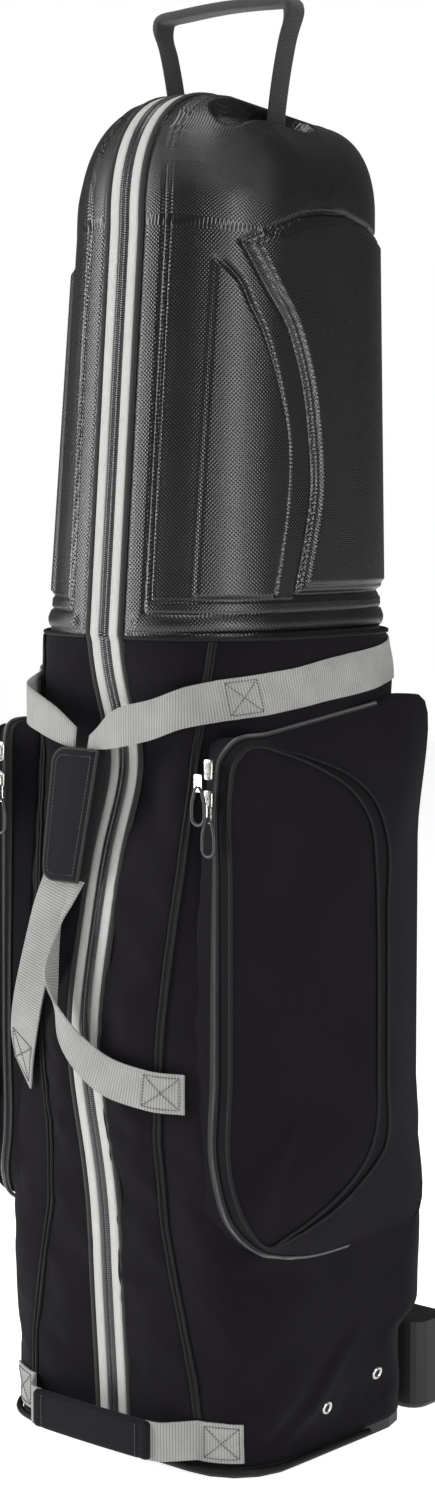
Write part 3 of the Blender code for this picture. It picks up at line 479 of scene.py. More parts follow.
def closed_loft(name, rings, mat, weave=None, angle=50.0):
    """A closed solid through rings of points, with flat end caps."""
    rings = np.asarray(rings, float)
    rows, cols = rings.shape[:2]
    index = np.arange(rows * cols).reshape(rows, cols)
    loop = np.concatenate([index, index[:, :1]], axis=1)
    faces = np.stack([loop[:-1, :-1], loop[:-1, 1:], loop[1:, 1:], loop[1:, :-1]], axis=-1)
    faces = [tuple(f) for f in faces.reshape(-1, 4)]
    faces.append(tuple(index[0][::-1]))
    faces.append(tuple(index[-1]))
    if weave is None:
        along = arc_length(rings.mean(axis=1))
        girth = np.linalg.norm(np.roll(rings[0], 1, axis=0) - rings[0], axis=1).sum()
        around = np.linspace(0.0, girth, cols)
        weave = np.stack(np.meshgrid(along, around, indexing="ij")[::-1], axis=-1)
    obj = new_piece(name, rings.reshape(-1, 3), faces, mat, np.asarray(weave).reshape(rows * cols, -1),
                    angle)
    fix_normals(obj)
    return obj


@contextmanager
def editing(mesh):
    bm = bmesh.new()
    bm.from_mesh(mesh)
    yield bm
    bm.to_mesh(mesh)
    bm.free()


def fix_normals(obj):
    with editing(obj.data) as bm:
        bmesh.ops.recalc_face_normals(bm, faces=bm.faces)
        if bm.calc_volume(signed=True) < 0.0:
            bmesh.ops.reverse_faces(bm, faces=bm.faces)


def frames_along(points, guide=None):
    """Tangent, side and up directions along a line; up leans towards guide if one is given."""
    points = np.asarray(points, float)
    tangent = np.gradient(points, axis=0)
    tangent /= np.linalg.norm(tangent, axis=1)[:, None]
    ups = []
    up = np.array([0.0, 0.0, 1.0]) if abs(tangent[0][2]) < 0.8 else np.array([0.0, 1.0, 0.0])
    for k, t in enumerate(tangent):
        if guide is not None:
            up = np.asarray(guide[k], float)
        up = unit(up - t * np.dot(up, t))
        ups.append(up)
    ups = np.array(ups)
    return tangent, np.cross(tangent, ups), ups


def cord(name, points, radius, mat, sides=8, guide=None):
    points = np.asarray(points, float)
    _, side, up = frames_along(points, guide)
    angles = np.linspace(0.0, 2.0 * math.pi, sides, endpoint=False)
    radius = np.broadcast_to(np.asarray(radius, float), (len(points),))
    rings = [p + r * (np.cos(angles)[:, None] * s + np.sin(angles)[:, None] * u)
             for p, r, s, u in zip(points, radius, side, up)]
    return closed_loft(name, rings, mat)


def join(name, pieces):
    """Several meshes as one piece, in which each keeps its own material."""
    verts, faces, weave, mats = [], [], [], []
    which = []
    for piece in pieces:
        base = len(verts)
        mesh = piece.data
        verts += [tuple(v.co) for v in mesh.vertices]
        weave += [tuple(d.vector) for d in mesh.attributes["weave"].data]
        if mesh.materials[0] not in mats:
            mats.append(mesh.materials[0])
        slot = mats.index(mesh.materials[0])
        for polygon in mesh.polygons:
            faces.append(tuple(i + base for i in polygon.vertices))
            which.append(slot)
        bpy.data.objects.remove(piece, do_unlink=True)
    obj = new_piece(name, verts, faces, mats[0], weave)
    for mat in mats[1:]:
        obj.data.materials.append(mat)
    obj.data.polygons.foreach_set("material_index", which)
    return obj


def applied(obj):
    """Bake the modifiers into the mesh."""
    graph = bpy.context.evaluated_depsgraph_get()
    mesh = bpy.data.meshes.new_from_object(obj.evaluated_get(graph))
    old = obj.data
    obj.modifiers.clear()
    obj.data = mesh
    bpy.data.meshes.remove(old)
    return obj


def positions(mesh):
    flat = np.empty(len(mesh.vertices) * 3)
    mesh.vertices.foreach_get("co", flat)
    return flat.reshape(-1, 3)


def put_positions(mesh, points):
    mesh.vertices.foreach_set("co", np.asarray(points, float).ravel())
    mesh.update()


def billow(obj, pins, pressure, cap, grow, frames, bending, stiffness=15.0):
    """Blow the fabric up a little as cloth, then keep each point within cap of where it was."""
    before = positions(obj.data)
    group = obj.vertex_groups.new(name="pins")
    for weight in np.unique(np.round(pins, 2)):
        if weight > 0.0:
            chosen = np.flatnonzero(np.isclose(np.round(pins, 2), weight))
            group.add([int(i) for i in chosen], float(weight), "REPLACE")
    cloth = obj.modifiers.new("cloth", "CLOTH")
    settings = cloth.settings
    settings.quality = 5
    settings.mass = 0.25
    settings.tension_stiffness = stiffness
    settings.compression_stiffness = stiffness
    settings.bending_stiffness = bending
    settings.use_pressure = True
    settings.uniform_pressure_force = pressure
    settings.shrink_min = -grow
    settings.effector_weights.gravity = 0.0
    settings.vertex_group_mass = "pins"
    cloth.collision_settings.use_collision = False
    scene = bpy.context.scene
    for number in range(1, frames + 1):
        scene.frame_set(number)
    applied(obj)
    scene.frame_set(1)
    after = positions(obj.data)
    move = after - before
    size = np.linalg.norm(move, axis=1)
    scale = np.where(size > 1e-9, cap * np.tanh(size / cap) / np.maximum(size, 1e-9), 0.0)
    put_positions(obj.data, before + move * scale[:, None])
    obj.vertex_groups.clear()


def refine(obj):
    finer = obj.modifiers.new("refine", "SUBSURF")
    finer.levels = finer.render_levels = 1
    applied(obj)


# ---------------------------------------------------------------- hard shell
SHELL_RIM_Z = SEAM_Z + 0.0003
SHELL_THICK = 0.003
CROWN_POWER = 2.4
WALL_ROWS = 220
CORNER_ROWS = 34
RIDGE_ROWS = 26
BAND_COLS = 20
TURN_COLS = 96
FACE_COLS = 26
PANEL_LOW = 0.812           # the moulded panels end here above the shell's rim
SAIL_ARC = ((-0.108, 1.122), (-0.090, 1.099), (-0.081, 1.076), (-0.070, 1.052), (-0.056, 1.007),
            (-0.045, 0.955), (-0.048, 0.900), (-0.056, 0.860), (-0.070, 0.806))
BACK_ARC = ((-0.088, 1.140), (-0.068, 1.100), (-0.059, 1.085), (-0.038, 1.053), (-0.022, 1.007),
            (-0.015, 0.960), (-0.013, 0.912), (-0.023, 0.865), (-0.041, 0.806))
PANEL_TOP = ((-0.095, 1.131), (-0.085, 1.135), (-0.059, 1.147), (-0.021, 1.160), (0.008, 1.165),
             (0.044, 1.166), (0.065, 1.161), (0.110, 1.152), (0.160, 1.150))


def superellipse(angle):
    return abs(math.cos(angle)) ** (2.0 / CROWN_POWER), abs(math.sin(angle)) ** (2.0 / CROWN_POWER)


def shell_front_y(z):
    return -mix(SEAM_FRONT, SHELL_TOP_FRONT, (z - SEAM_Z) / (FRONT_SPRING - SEAM_Z))


def shell_half(z):
    return mix(SHELL_LOW_HALF, SHELL_TOP_HALF, np.clip((z - SEAM_Z) / (FRONT_SPRING - SEAM_Z), 0.0, 1.0))


def crown_curve(walls, corners, ridge):
    """Side view of the zipper line on the shell: up the front, over the ridge, down the back."""
    low = SHELL_RIM_Z
    points = [(shell_front_y(z), z) for z in np.linspace(low, FRONT_SPRING, walls + 1)]
    spring_y = shell_front_y(FRONT_SPRING)
    for k in range(1, corners + 1):
        c, s = superellipse(math.radians(90.0 * k / corners))
        points.append((mix(RIDGE_FRONT_Y, spring_y, c), mix(FRONT_SPRING, CROWN_Z, s)))
    back_z = CROWN_Z - RIDGE_SLOPE * (RIDGE_BACK_Y - RIDGE_FRONT_Y)
    for t in np.linspace(0.0, 1.0, ridge + 1)[1:-1]:
        points.append((mix(RIDGE_FRONT_Y, RIDGE_BACK_Y, t), mix(CROWN_Z, back_z, t)))
    for k in range(corners, 0, -1):
        c, s = superellipse(math.radians(90.0 * k / corners))
        points.append((mix(RIDGE_BACK_Y, TOP_BACK, c), mix(BACK_SPRING, back_z, s)))
    points += [(TOP_BACK, z) for z in np.linspace(BACK_SPRING, low, walls + 1)]
    return np.array(points)


def face_curve(walls, corners, ridge):
    low, top, radius = SHELL_RIM_Z, CROWN_Z - SHELL_INSET, 0.035
    heights = np.linspace(low, top - radius, walls + 1)
    front = [(shell_front_y(z) + SHELL_INSET, z) for z in heights]
    back = [(TOP_BACK - SHELL_INSET, z) for z in heights]
    start, edge = front[-1][0], back[-1][0]
    for k in range(1, corners + 1):
        angle = math.radians(90.0 * k / corners)
        rise = top - radius + radius * math.sin(angle)
        front.append((start + radius * (1.0 - math.cos(angle)), rise))
        back.append((edge - radius * (1.0 - math.cos(angle)), rise))
    middle = [(mix(front[-1][0], back[-1][0], t), top) for t in np.linspace(0.0, 1.0, ridge + 1)[1:-1]]
    return np.array(front + middle + back[::-1])


def shell_points():
    sizes = (WALL_ROWS, CORNER_ROWS, RIDGE_ROWS)
    outer, face = crown_curve(*sizes), face_curve(*sizes)
    count = len(outer)
    columns = []
    for x in np.linspace(WALL_EDGE, BAND_HALF, BAND_COLS + 1)[:-1]:
        columns.append(np.column_stack([np.full(count, x), outer]))
    for turn in np.radians(np.linspace(0.0, 90.0, TURN_COLS + 1)):
        t = 1.0 - math.cos(turn)
        y, z = mix(outer[:, 0], face[:, 0], t), mix(outer[:, 1], face[:, 1], t)
        columns.append(np.column_stack([mix(BAND_HALF, shell_half(z), math.sin(turn)), y, z]))
    mate = face[::-1]
    spine = np.column_stack([(face[:, 0] + mate[:, 0]) / 2.0,
                             (face[:, 1] + mate[:, 1]) / 2.0 - 0.25 * np.maximum(0.0, face[:, 1] - 1.10)])
    for t in np.linspace(0.0, 1.0, FACE_COLS + 1)[1:]:
        y, z = mix(face[:, 0], spine[:, 0], t), mix(face[:, 1], spine[:, 1], t)
        columns.append(np.column_stack([shell_half(z) + 0.0015 * math.sin(0.5 * math.pi * t), y, z]))
    return np.stack(columns, axis=1)


def signed_distance(y, z, curve):
    """Distance from each point to a curve in the side view, positive towards +Y."""
    line = spline(curve, 60)
    best = np.full(y.shape, 1.0)
    sign = np.ones(y.shape)
    for a, b in zip(line[:-1], line[1:]):
        d = b - a
        t = np.clip(((y - a[0]) * d[0] + (z - a[1]) * d[1]) / (d @ d), 0.0, 1.0)
        away = np.hypot(y - a[0] - t * d[0], z - a[1] - t * d[1])
        cross = (y - a[0]) * d[1] - (z - a[1]) * d[0]
        nearer = away < best
        best = np.where(nearer, away, best)
        sign = np.where(nearer, -np.sign(cross), sign)
    return best * sign


def shell_relief(points):
    """How far each point of the smooth shell moves outwards for the moulded detail."""
    x, y, z = points[..., 0], points[..., 1], points[..., 2]
    # two grooves that frame the flat side, with a bead and a line round the rim
    edge = 0.0455 - 0.0075 * ramp(1.17, 1.262, z)
    outer = np.minimum(x - edge, z - 0.797)
    inner = np.minimum(x - edge - 0.0058, z - 0.8085)
    height = -0.0026 * np.exp(-(outer / 0.0011) ** 2) - 0.0026 * np.exp(-(inner / 0.0011) ** 2)
    height -= 0.0012 * ramp(0.0, 0.004, inner)
    height += 0.0030 * hump(z, 0.7872, 0.0050) * ramp(0.030, 0.040, x)
    height -= 0.0020 * hump(z, 0.7785, 0.0010) * ramp(0.026, 0.034, x)
    height -= 0.0012 * np.exp(-((x - BAND_HALF - 0.0008) / 0.0009) ** 2)

    # the sail in front, raised, with a groove along its arc
    front = y < 0.04
    inside_arc = -signed_distance(y, z, SAIL_ARC)
    window = ramp(PANEL_LOW - 0.001, PANEL_LOW + 0.0015, z) * ramp(1.124, 1.112, z) * front
    sail = ramp(0.0858, 0.0925, x) * ramp(-0.0014, 0.0020, inside_arc) * window
    height += 0.0036 * sail
    height -= 0.0034 * np.exp(-((inside_arc + 0.0016) / 0.0022) ** 2) * window * ramp(0.086, 0.090, x)

    # the back panel, raised in two steps inside its groove
    beyond_arc = signed_distance(y, z, BACK_ARC)
    below_top = np.interp(y, [p[0] for p in PANEL_TOP], [p[1] for p in PANEL_TOP]) - z
    inside = np.minimum(np.minimum(beyond_arc, below_top), z - PANEL_LOW)
    inside = np.where(y > 0.05, np.minimum(inside, x - 0.056), inside)
    height -= 0.0030 * np.exp(-((inside - 0.0005) / 0.0024) ** 2)
    height += 0.0024 * ramp(0.0010, 0.0050, inside) + 0.0032 * ramp(0.0075, 0.0120, inside)

    # the recess under the top handle, and the dip beside it
    on_crown = ramp(1.175, 1.20, z)
    along = np.clip(y, -0.062, 0.040)
    reach = np.hypot(x - 0.0670, y - along)
    height -= 0.0155 * (1.0 - ramp(0.0105, 0.0185, reach)) * on_crown
    height -= 0.0045 * hump(x, 0.092, 0.013) * hump(y, -0.018, 0.050) * on_crown
    return height


def grid_normals(grid, centre):
    normal = np.cross(np.gradient(grid, axis=0), np.gradient(grid, axis=1))
    size = np.linalg.norm(normal, axis=2)[..., None]
    normal = normal / np.maximum(size, 1e-12)
    facing = np.sum(normal * (grid - np.asarray(centre)), axis=2)
    return normal * np.where(facing < 0.0, -1.0, 1.0)[..., None]


def shell_weave(grid):
    """The grain's coordinates: Y and Z on the flat side, unrolled from its edge elsewhere."""
    edge = BAND_COLS + TURN_COLS
    across = np.cumsum(np.linalg.norm(np.diff(grid, axis=1, prepend=grid[:, :1]), axis=2), axis=1)
    outline = grid[:, edge, 1:]
    along = np.gradient(outline, axis=0)
    away = np.stack([-along[:, 1], along[:, 0]], axis=1)
    away /= np.linalg.norm(away, axis=1)[:, None]
    beyond = np.maximum(across[:, edge, None] - across, 0.0)
    unrolled = outline[:, None, :] + away[:, None, :] * beyond[..., None]
    flat = (np.arange(grid.shape[1]) > edge)[None, :, None]
    return np.where(flat, grid[..., 1:], unrolled)


def shells():
    smooth_grid = shell_points()
    normal = grid_normals(smooth_grid, (0.0, 0.0, 1.0))
    normal[:, :3, 0] = 0.0
    normal[:2, :, 2] = 0.0
    normal[-2:, :, 2] = 0.0
    normal[:, -2:] = (1.0, 0.0, 0.0)
    normal /= np.linalg.norm(normal, axis=2)[..., None]
    relief = shell_relief(smooth_grid)
    moulded_grid = smooth_grid + normal * relief[..., None]
    moulded_grid[0, :, 2] = SHELL_RIM_Z
    moulded_grid[-1, :, 2] = SHELL_RIM_Z
    weave = shell_weave(smooth_grid)
    for label, side in SIDES:
        grid = moulded_grid * np.array([side, 1.0, 1.0])
        shell = sheet(f"hard_shell_{label}", grid, SHELL, weave, inside=(0.0, 0.0, 1.0),
                      angle=None)
        with editing(shell.data) as bm:
            bmesh.ops.remove_doubles(bm, verts=bm.verts, dist=0.00002)
        lined(shell, SHELL_THICK)
        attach(shell, HALF_BODY[label])
        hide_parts(f"shell_{label}")


# ---------------------------------------------------------------- padded fabric walls
SEAM_TUCK = 0.0022          # how far a sewn seam sinks between two padded panels
PAD_RISE = 0.0042
ROW_STEP = 0.0068
WALL_THICK = 0.004
CLOTH_FRAMES = 20
SKIN_REACH = 0.03
fold_noise = Noise(11)
crease_noise = Noise(23)


def panel_stations(section, side):
    """Arc lengths of the wall's columns with the panel number and place across it."""
    z = section.z
    back_gap = 0.0058 if z > ZIP_BACK_END - 0.03 else 0.0
    edges = [WALL_EDGE + side * zip_shift(z), side_seam(z), section.length - BACK_SEAM,
             section.length - back_gap]
    stations, across = [], []
    for number, count in enumerate((15, 48, 14)):
        t = np.linspace(0.0, 1.0, count + 1)
        t = t if number == 2 else t[:-1]
        stations.append(mix(edges[number], edges[number + 1], t))
        across.append(t)
    return np.concatenate(stations), np.concatenate(across)


def wall_relief(s, across, z, side):
    """Padding between seams, plus the soft folds that the cloth keeps."""
    rise = PAD_RISE * np.sin(np.pi * across) ** 0.55 - SEAM_TUCK
    ends = ramp(BODY_LOW, BODY_LOW + 0.035, z) * ramp(SEAM_Z, SEAM_Z - 0.03, z)
    folds = fold_noise(s * 9.0 + 3.0 * side, z * 5.0) * 0.0026
    folds += crease_noise(s * 26.0 + z * 9.0, z * 17.0 - s * 6.0) * 0.0011
    free = np.sin(np.pi * across) ** 0.8
    slump = (0.0035 * hump(z, 0.060, 0.020) * hump(s, 0.215, 0.030)
             - 0.0040 * hump(z, 0.028, 0.011) * hump(s, 0.205, 0.035))
    dent = -0.0035 * np.exp(-((s - 0.18 - 1.25 * (z - 0.03)) / 0.012) ** 2) * hump(z, 0.055, 0.030)
    ridge = 0.0035 * np.exp(-((s - 0.205 - 1.15 * (z - 0.03)) / 0.012) ** 2) * hump(z, 0.065, 0.032)
    return (rise + folds * free) * ends + slump + (dent + ridge) * ramp(0.0, 0.02, z - BODY_LOW)


def fabric_wall(label, side):
    heights = np.linspace(BODY_LOW, SEAM_Z - 0.0004, int((SEAM_Z - BODY_LOW) / ROW_STEP))
    grid, weave, pins = [], [], []
    for z in heights:
        section = Section(z)
        s, across = panel_stations(section, side)
        off = wall_relief(s, across, z, side)
        off[0] = off[-1] = 0.0
        grid.append(section.points(s, off, side))
        weave.append(np.column_stack([s, np.full_like(s, z)]))
        held = np.where((across < 0.03) | (across > 0.985), 1.0, 0.0)
        held[[0, 1, -1, -2]] = 1.0
        low_edge = 1.0 - ramp(0.004, 0.03, z - BODY_LOW)
        top_edge = 1.0 - ramp(0.004, 0.03, SEAM_Z - z)
        pins.append(np.maximum(held, np.round(max(low_edge, top_edge), 1)))
    top = Section(SEAM_Z)
    s, _ = panel_stations(top, side)
    for inset, rise in ((-0.0015, 0.0012), (-0.006, 0.0020), (-0.016, 0.0012), (-0.024, -0.004)):
        ledge = top.points(s, inset, side)
        ledge[:, 2] = SEAM_Z - 0.0004 + rise
        grid.append(ledge)
        weave.append(np.column_stack([s, np.full_like(s, SEAM_Z - inset)]))
        pins.append(np.ones(len(s)))
    wall = sheet(f"fabric_wall_{label}", np.array(grid), FABRIC, np.array(weave),
                 inside=(0.0, 0.0, 0.4), angle=None)
    billow(wall, np.concatenate(pins), 0.35, 0.0045, grow=0.012, frames=CLOTH_FRAMES, bending=1.5)
    refine(wall)
    lined(wall, WALL_THICK)
    wall.data.shade_smooth()
    nodes = [f"front_panel_{label}", f"side_panel_{label}", f"back_panel_{label}"]
    if label == "right":
        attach(wall, "case")
        nodes.append("lower_body")
    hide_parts(*nodes)
    return wall


class Skin:
    """Puts points on the outside of the finished fabric."""

    def __init__(self, wall):
        mesh = wall.data
        points = [v.co.copy() for v in mesh.vertices]
        faces = [tuple(p.vertices) for p in mesh.polygons]
        self.tree = BVHTree.FromPolygons(points, faces)

    def lift(self, point, off):
        """The nearest place on the skin, then off it; the point itself if no skin is within reach."""
        point = Vector(point)
        place, normal = self.tree.find_nearest(point, SKIN_REACH)[:2]
        if place is None:
            return np.array(point)
        if normal.dot(Vector((point.x, point.y, 0.0))) < 0.0:
            normal = -normal
        return np.array(place + normal * off)


def back_bridge():
    """The cloth behind the closed back seam, which folds like a book's spine as the halves open."""
    heights = np.linspace(TURN_HIGH, ZIP_BACK_END - 0.022, 40)
    xs = np.linspace(-0.020, 0.020, 17)
    grid, weave = [], []
    for z in heights:
        bulge = 0.0016 + 0.0012 * np.cos(xs / 0.020 * np.pi * 0.5) ** 2
        grid.append(np.column_stack([xs, back_y(z) + bulge, np.full_like(xs, z)]))
        weave.append(np.column_stack([xs, np.full_like(xs, z)]))
    bridge = sheet("back_bridge", np.array(grid), FABRIC, np.array(weave), thick=0.0015)
    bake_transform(bridge)


# ---------------------------------------------------------------- seams and piping
def turn_with_half(obj, label):
    """A piece that runs up from the fixed foot onto its half."""
    if label == "right":
        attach(obj, "case")
    else:
        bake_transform(obj)


PIPING_LOW = 0.054          # the piping starts above the haul handle's tails


def seam_piping(label, side, skin):
    heights = np.linspace(PIPING_LOW, SEAM_Z - 0.003, 130)
    cords = []
    for number, offset in enumerate((-0.0026, 0.0026)):
        path = []
        for z in heights:
            point = Section(z).points([side_seam(z) + offset], 0.0012, side)[0]
            path.append(skin.lift(point, 0.0012))
        cords.append(cord(f"side_cord_{number}_{label}", path, 0.0017, PIPING,
                          guide=np.array(path) * (1, 1, 0)))
    gap, weave = [], []
    for z in heights:
        row = Section(z).points(side_seam(z) + np.linspace(-0.0022, 0.0022, 4), 0.0, side)
        gap.append([skin.lift(p, 0.0011) for p in row])
        weave.append([(u, z) for u in (0.0, 0.0015, 0.003, 0.0045)])
    cords.append(sheet(f"side_tape_{label}", np.array(gap), TAPE_BLACK, np.array(weave)))
    piping = join(f"seam_piping_pair_{label}", cords)
    turn_with_half(piping, label)
    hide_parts(f"seam_piping_{label}")


def rim_piping(label, side):
    """The bound edge round the top of the fabric, under the shell's rim."""
    section = Section(SEAM_Z)
    stations = np.linspace(0.024, section.length - 0.020, 160)
    path = section.points(stations, 0.0006, side)
    path[:, 2] = SEAM_Z - 0.0008
    rim = cord(f"rim_piping_{label}", path, 0.0022, PIPING, 8)
    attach(rim, HALF_BODY[label])


# ---------------------------------------------------------------- main zipper
TOOTH_PITCH = 0.0021


def zip_line(low, step):
    """Evenly spaced points of the zipper's middle with outward directions."""
    points = [(zip_shift(z), front_y(z) + front_wave(z), z) for z in np.arange(low, SEAM_Z, 0.004)]
    points += [(0.0, y, z) for y, z in crown_curve(60, 24, 20)]
    points += [(0.0, TOP_BACK, z) for z in np.linspace(SEAM_Z - 0.004, ZIP_BACK_END, 30)]
    points = np.array(points)
    place = arc_length(points)
    wanted = np.arange(0.0, place[-1], step)
    points = np.stack([np.interp(wanted, place, points[:, k]) for k in range(3)], axis=1)
    along = np.gradient(points, axis=0)
    along /= np.linalg.norm(along, axis=1)[:, None]
    normal = np.cross(np.array([1.0, 0.0, 0.0]), along)
    normal *= np.where(np.sum(normal * (points - (0.0, 0.0, 0.7)), axis=1) < 0.0, -1.0, 1.0)[:, None]
    normal /= np.linalg.norm(normal, axis=1)[:, None]
    return points, along, normal, wanted


def zip_strip(name, line, side, profile, mat):
    """A strip along the zipper; profile gives (distance from the middle, height) across it."""
    points, _, normal, place = line
    grid, weave = [], []
    width = np.concatenate([[0.0], np.cumsum(np.hypot(*np.diff(np.array(profile), axis=0).T))])
    for x, h in profile:
        grid.append(points + np.array([side * x, 0.0, 0.0]) + normal * h)
    for w in width:
        weave.append(np.column_stack([np.full_like(place, w), place]))
    grid = np.stack(grid, axis=1)
    return sheet(name, grid, mat, np.stack(weave, axis=1), inside=(0.0, 0.0, 0.7), thick=0.0005)


def coil_teeth(name, side):
    """One side's row of coil turns, each a small rounded bar with a raised head."""
    points, along, normal, place = zip_line(BODY_LOW + 0.002, TOOTH_PITCH)
    if side < 0.0:
        points = points + along * TOOTH_PITCH * 0.5
    outline = ((0.0004, 0.0008), (0.0006, 0.0024), (0.0018, 0.0030), (0.0046, 0.0028), (0.0058, 0.0012),
               (0.0050, 0.0006))
    verts, faces, weave = [], [], []
    count = len(outline)
    sideways = np.array([side, 0.0, 0.0])
    for p, a, n, s in zip(points, along, normal, place):
        base = len(verts)
        for end, narrow in ((-0.5, 0.0003), (0.5, 0.0003)):
            for x, h in outline:
                lean = 0.0005 * (x / 0.005)
                verts.append(p + sideways * x + n * (h - narrow) + a * (end * 0.00125 + lean))
                weave.append((s, x, 0.0))
        for k in range(count):
            j = (k + 1) % count
            faces.append((base + k, base + j, base + count + j, base + count + k))
        faces.append(tuple(base + k for k in range(count))[::-1])
        faces.append(tuple(base + count + k for k in range(count)))
    obj = new_piece(name, verts, faces, COIL, weave, 50.0)
    fix_normals(obj)
    return obj


def main_zipper():
    line = zip_line(BODY_LOW + 0.001, 0.004)
    silver = ((0.0058, 0.0006), (0.0068, 0.0014), (0.0100, 0.0018), (0.0140, 0.0017), (0.0170, 0.0012),
              (0.0176, 0.0006))
    edging = ((0.0174, 0.0006), (0.0182, 0.0020), (0.0200, 0.0028), (0.0220, 0.0024), (0.0236, 0.0004))
    under = ((0.0001, 0.0003), (0.0030, 0.0006), (0.0062, 0.0008))
    for label, side in SIDES:
        tape = zip_strip(f"main_tape_{label}", line, side, silver, SILVER)
        edge = zip_strip(f"main_edging_{label}", line, side, edging, TAPE_BLACK)
        bed = zip_strip(f"coil_bed_{label}", line, side, under, TAPE_BLACK)
        teeth = coil_teeth(f"coil_row_{label}", side)
        coil = join(f"main_coil_{label}", [teeth, bed])
        for piece in (tape, edge, coil):
            if piece.modifiers:
                applied(piece)
            turn_with_half(piece, label)
        if label == "right":
            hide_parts("zip_tape_right", "zip_lower")
        else:
            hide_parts("zip_tape_left")
        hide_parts(f"zip_coil_{label}")


# ---------------------------------------------------------------- webbing
def smooth_loop(points, per):
    """A closed line through the points, with per steps from each to the next."""
    points = np.asarray(points, float)
    ahead = np.roll(points, -1, axis=0) - points
    span = np.linalg.norm(ahead, axis=1)[:, None]
    behind = np.roll(span, 1, axis=0)
    slope = (np.roll(ahead, 1, axis=0) / behind * span + ahead / span * behind) / (behind + span)
    t = np.linspace(0.0, 1.0, per, endpoint=False)[:, None, None]
    curve = ((2 * t ** 3 - 3 * t ** 2 + 1) * points + (t ** 3 - 2 * t ** 2 + t) * span * slope
             + (3 * t ** 2 - 2 * t ** 3) * np.roll(points, -1, axis=0)
             + (t ** 3 - t ** 2) * span * np.roll(slope, -1, axis=0))
    return curve.transpose(1, 0, 2).reshape(-1, 3)


WEBBING_THICK = 0.0017
STRAP_COLS = 7
SEWN_ROWS = 90
LOOSE_ROWS = 46


def strap_grid(points, widths, rows):
    points, widths = np.asarray(points, float), np.asarray(widths, float)
    both = spline(np.concatenate([points, widths], axis=1), rows)
    u = np.linspace(-0.5, 0.5, STRAP_COLS)
    return both[:, None, :3] + both[:, None, 3:6] * u[None, :, None]


def webbing_piece(name, grid, mat, inside=(0.0, 0.0, 0.65)):
    grid = np.asarray(grid, float)
    along = np.cumsum(np.linalg.norm(np.diff(grid, axis=0, prepend=grid[:1]), axis=2).mean(axis=1))
    across = np.cumsum(np.linalg.norm(np.diff(grid, axis=1, prepend=grid[:, :1]), axis=2), axis=1)
    weave = np.stack([across, np.broadcast_to(along[:, None], across.shape)], axis=-1)
    return applied(sheet(name, grid, mat, weave, inside, WEBBING_THICK))


def capsules(name, line, pitch, length, radius, mat):
    """A row of short stitches along a line."""
    line = np.asarray(line, float)
    place = arc_length(line)
    verts, faces = [], []
    for start in np.arange(0.0, place[-1] - length, pitch):
        ends = [np.array([np.interp(start + d, place, line[:, k]) for k in range(3)])
                for d in (0.0, 0.25 * length, 0.75 * length, length)]
        along = unit(ends[3] - ends[0])
        side = unit(np.cross(along, (0.31, 0.77, 0.55)))
        up = np.cross(along, side)
        base = len(verts)
        for centre, r in zip(ends, (0.35, 1.0, 1.0, 0.35)):
            for k in range(5):
                a = 2.0 * math.pi * k / 5
                verts.append(centre + radius * r * (math.cos(a) * side + math.sin(a) * up))
        for ring in range(3):
            for k in range(5):
                j = (k + 1) % 5
                faces.append((base + 5 * ring + k, base + 5 * ring + j, base + 5 * ring + 5 + j,
                              base + 5 * ring + 5 + k))
        faces.append(tuple(base + k for k in range(5))[::-1])
        faces.append(tuple(base + 15 + k for k in range(5)))
    obj = new_piece(name, verts, faces, mat)
    fix_normals(obj)
    return obj


def on_strap(grid, row, u, off):
    """Points of a strap at rows (fractional) and places u across it, lifted off its face."""
    rows, cols = grid.shape[:2]
    r = np.clip(np.asarray(row, float), 0, rows - 1)
    c = (np.asarray(u, float) + 0.5) * (cols - 1)
    r0, c0 = np.minimum(r.astype(int), rows - 2), np.minimum(c.astype(int), cols - 2)
    fr, fc = (r - r0)[:, None], (c - c0)[:, None]
    point = mix(mix(grid[r0, c0], grid[r0, c0 + 1], fc), mix(grid[r0 + 1, c0], grid[r0 + 1, c0 + 1], fc), fr)
    normal = np.cross(grid[r0 + 1, c0] - grid[r0, c0], grid[r0, c0 + 1] - grid[r0, c0])
    normal /= np.linalg.norm(normal, axis=1)[:, None]
    flat = point * (1.0, 1.0, 0.0)
    normal *= np.where(np.sum(normal * flat, axis=1) < 0.0, -1.0, 1.0)[:, None]
    return point + normal * off


def cross_box(name, grid, first, last):
    """A stitched rectangle with a cross in it."""
    half = 0.40
    lines = [((first, -half), (last, -half)), ((last, -half), (last, half)), ((last, half), (first, half)),
             ((first, half), (first, -half)), ((first, -half), (last, half)), ((first, half), (last, -half))]
    pieces = []
    t = np.linspace(0.0, 1.0, 24)
    for number, (a, b) in enumerate(lines):
        line = on_strap(grid, mix(a[0], b[0], t), mix(a[1], b[1], t), 0.0003)
        pieces.append(capsules(f"{name}_{number}", line, 0.0030, 0.0022, 0.00055, GREY_THREAD))
    return join(name, pieces)


def row_length(grid):
    return float(np.linalg.norm(np.diff(grid[:, grid.shape[1] // 2], axis=0), axis=1).mean())


def lying_rows(skin, side, places, lift, passes, from_back=False):
    """A strap's rows laid on the fabric at (arc length, height) places, then evened out."""
    rows = []
    for s, z in places:
        row = []
        for u in np.linspace(-0.5, 0.5, STRAP_COLS):
            level = Section(z + u * WEBBING_WIDTH)
            point = level.points([level.length - s if from_back else s], 0.002, side)[0]
            row.append(skin.lift(point, lift))
        rows.append(row)
    rows = np.array(rows)
    for _ in range(passes):
        rows[1:-1] = 0.25 * rows[:-2] + 0.5 * rows[1:-1] + 0.25 * rows[2:]
    return rows


